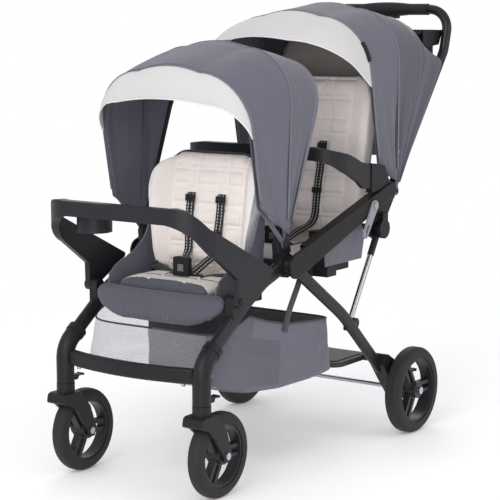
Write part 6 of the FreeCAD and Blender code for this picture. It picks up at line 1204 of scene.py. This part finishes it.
tub_points = basket_points()
tub = draped("basket_tub", tub_points, grey_cloth, wrap=True)
for finish in (net, dark_cloth, deep_net):
    tub.data.materials.append(finish)
centres = rows_of(tub.data.polygons, "center")
share = ((centres[:, 1] - CASTER_Y) * 1000 - BASKET["front"]) / BASKET["span"]
height = (centres[:, 2] * 1000 - BASKET["low"]) / BASKET["rise"]
kind = np.zeros(len(centres), int)
wall = np.abs(centres[:, 0]) > SIDE_WALL
front_net = (share < 0.30) & ~wall & (height > 0.04)
far_net = (centres[:, 0] < -SIDE_WALL) & (share < 0.60) & (height > 0.04)
near_net = (centres[:, 0] > SIDE_WALL) & (share < 0.40) & (height > 0.10)
kind[(height < 0.10) & ~wall] = 2
kind[(share > 0.30) & (centres[:, 0] < SIDE_WALL)] = 2
kind[front_net | far_net] = 1
kind[near_net] = 3
tub.data.polygons.foreach_set("material_index", kind)
walled(tub, SHEET_WALL, 0.0)
rim_line = tub_points[0]
basket_hem = cord_round("basket_hem", np.vstack([rim_line, rim_line[:1]]), 0.0022, binding_dark, count=260)
hangers = []
for sign in (-1, 1):
    path = [place(sign * 199.4, 408, 505), place(sign * 200.2, 375, 440), place(sign * 200.6, 330, 372),
            place(sign * 200.0, 316, 330)]
    hangers.append(strap("basket_hanger", path, np.array([float(sign), 0, 0]), 0.022, 0.0018, binding_dark,
                         count=40))
hanger_pair = joined("basket_hangers", hangers)
for piece in (tub, basket_hem):
    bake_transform(piece)
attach(hanger_pair, "frame")
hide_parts("basket")

# %% [markdown]
# ## The studio
# A plain pale floor and soft light from large lamps. The floor is a disc that fades to nothing far from
# the object, so no edge shows, and the white behind comes from what the camera's own rays see.

# %% Floor, lamps and background
def floor():
    f = Finish("studio_floor")
    at = f.split(f.where("Object"))
    reach = (at.out("X") * at.out("X") + at.out("Y") * at.out("Y")).one("SQRT")
    fade = ((reach - 0.9) / 1.1).one("MAXIMUM", 0.0).one("MINIMUM", 1.0)
    plain = f.add("ShaderNodeBsdfPrincipled", {}, {"Base Color": (0.96, 0.96, 0.96, 1.0), "Roughness": 1.0,
                                                   "Emission Color": (1.0, 1.0, 1.0, 1.0),
                                                   "Emission Strength": 0.16})
    clear = f.add("ShaderNodeBsdfTransparent", {}, {"Color": (1.0, 1.0, 1.0, 1.0)})
    shader = f.add("ShaderNodeMixShader", {}, {0: fade, 1: plain, 2: clear})
    return f.done(shader)


ring_radius = np.linspace(0.0, 3.2, 20)[:, None]
turn = np.linspace(0, 2 * math.pi, 64, endpoint=False)[None]
disc = np.stack([ring_radius * np.cos(turn), ring_radius * np.sin(turn), np.zeros((20, 64))], -1)
ground = draped("studio_floor", disc, floor(), wrap=True, flip=True)

world = bpy.data.worlds.new("studio_world")
bpy.context.scene.world = world
world.use_nodes = True
tree = world.node_tree
tree.nodes.clear()
rays = tree.nodes.new("ShaderNodeLightPath")
either = tree.nodes.new("ShaderNodeMath")
either.operation = "MAXIMUM"
tree.links.new(rays.outputs["Is Camera Ray"], either.inputs[0])
tree.links.new(rays.outputs["Is Transmission Ray"], either.inputs[1])
light, white = tree.nodes.new("ShaderNodeBackground"), tree.nodes.new("ShaderNodeBackground")
light.inputs["Color"].default_value = (0.97, 0.98, 1.0, 1.0)
light.inputs["Strength"].default_value = 0.72
white.inputs["Color"].default_value = (1.0, 1.0, 1.0, 1.0)
blend_nodes = tree.nodes.new("ShaderNodeMixShader")
tree.links.new(either.outputs[0], blend_nodes.inputs[0])
tree.links.new(light.outputs[0], blend_nodes.inputs[1])
tree.links.new(white.outputs[0], blend_nodes.inputs[2])
world_out = tree.nodes.new("ShaderNodeOutputWorld")
tree.links.new(blend_nodes.outputs[0], world_out.inputs["Surface"])


def lamp(name, at, towards, size, power, colour=(1.0, 1.0, 1.0)):
    data = bpy.data.lights.new(name, "AREA")
    data.shape = "SQUARE"
    data.size, data.energy, data.color = size, power, colour
    obj = bpy.data.objects.new(name, data)
    obj.location = at
    obj.rotation_euler = (Vector(towards) - Vector(at)).to_track_quat("-Z", "Y").to_euler()
    bpy.context.collection.objects.link(obj)


lamp("key_softbox", (0.4, -3.6, 3.0), (0, 0, 0.5), 2.2, 58)
lamp("seat_fill", (1.5, -2.8, 0.75), (0, -0.1, 0.6), 1.4, 16)
lamp("side_softbox", (3.6, 0.6, 2.2), (0, 0, 0.5), 2.0, 22)
lamp("back_softbox", (-2.0, 3.0, 2.8), (0, 0, 0.6), 2.0, 22)
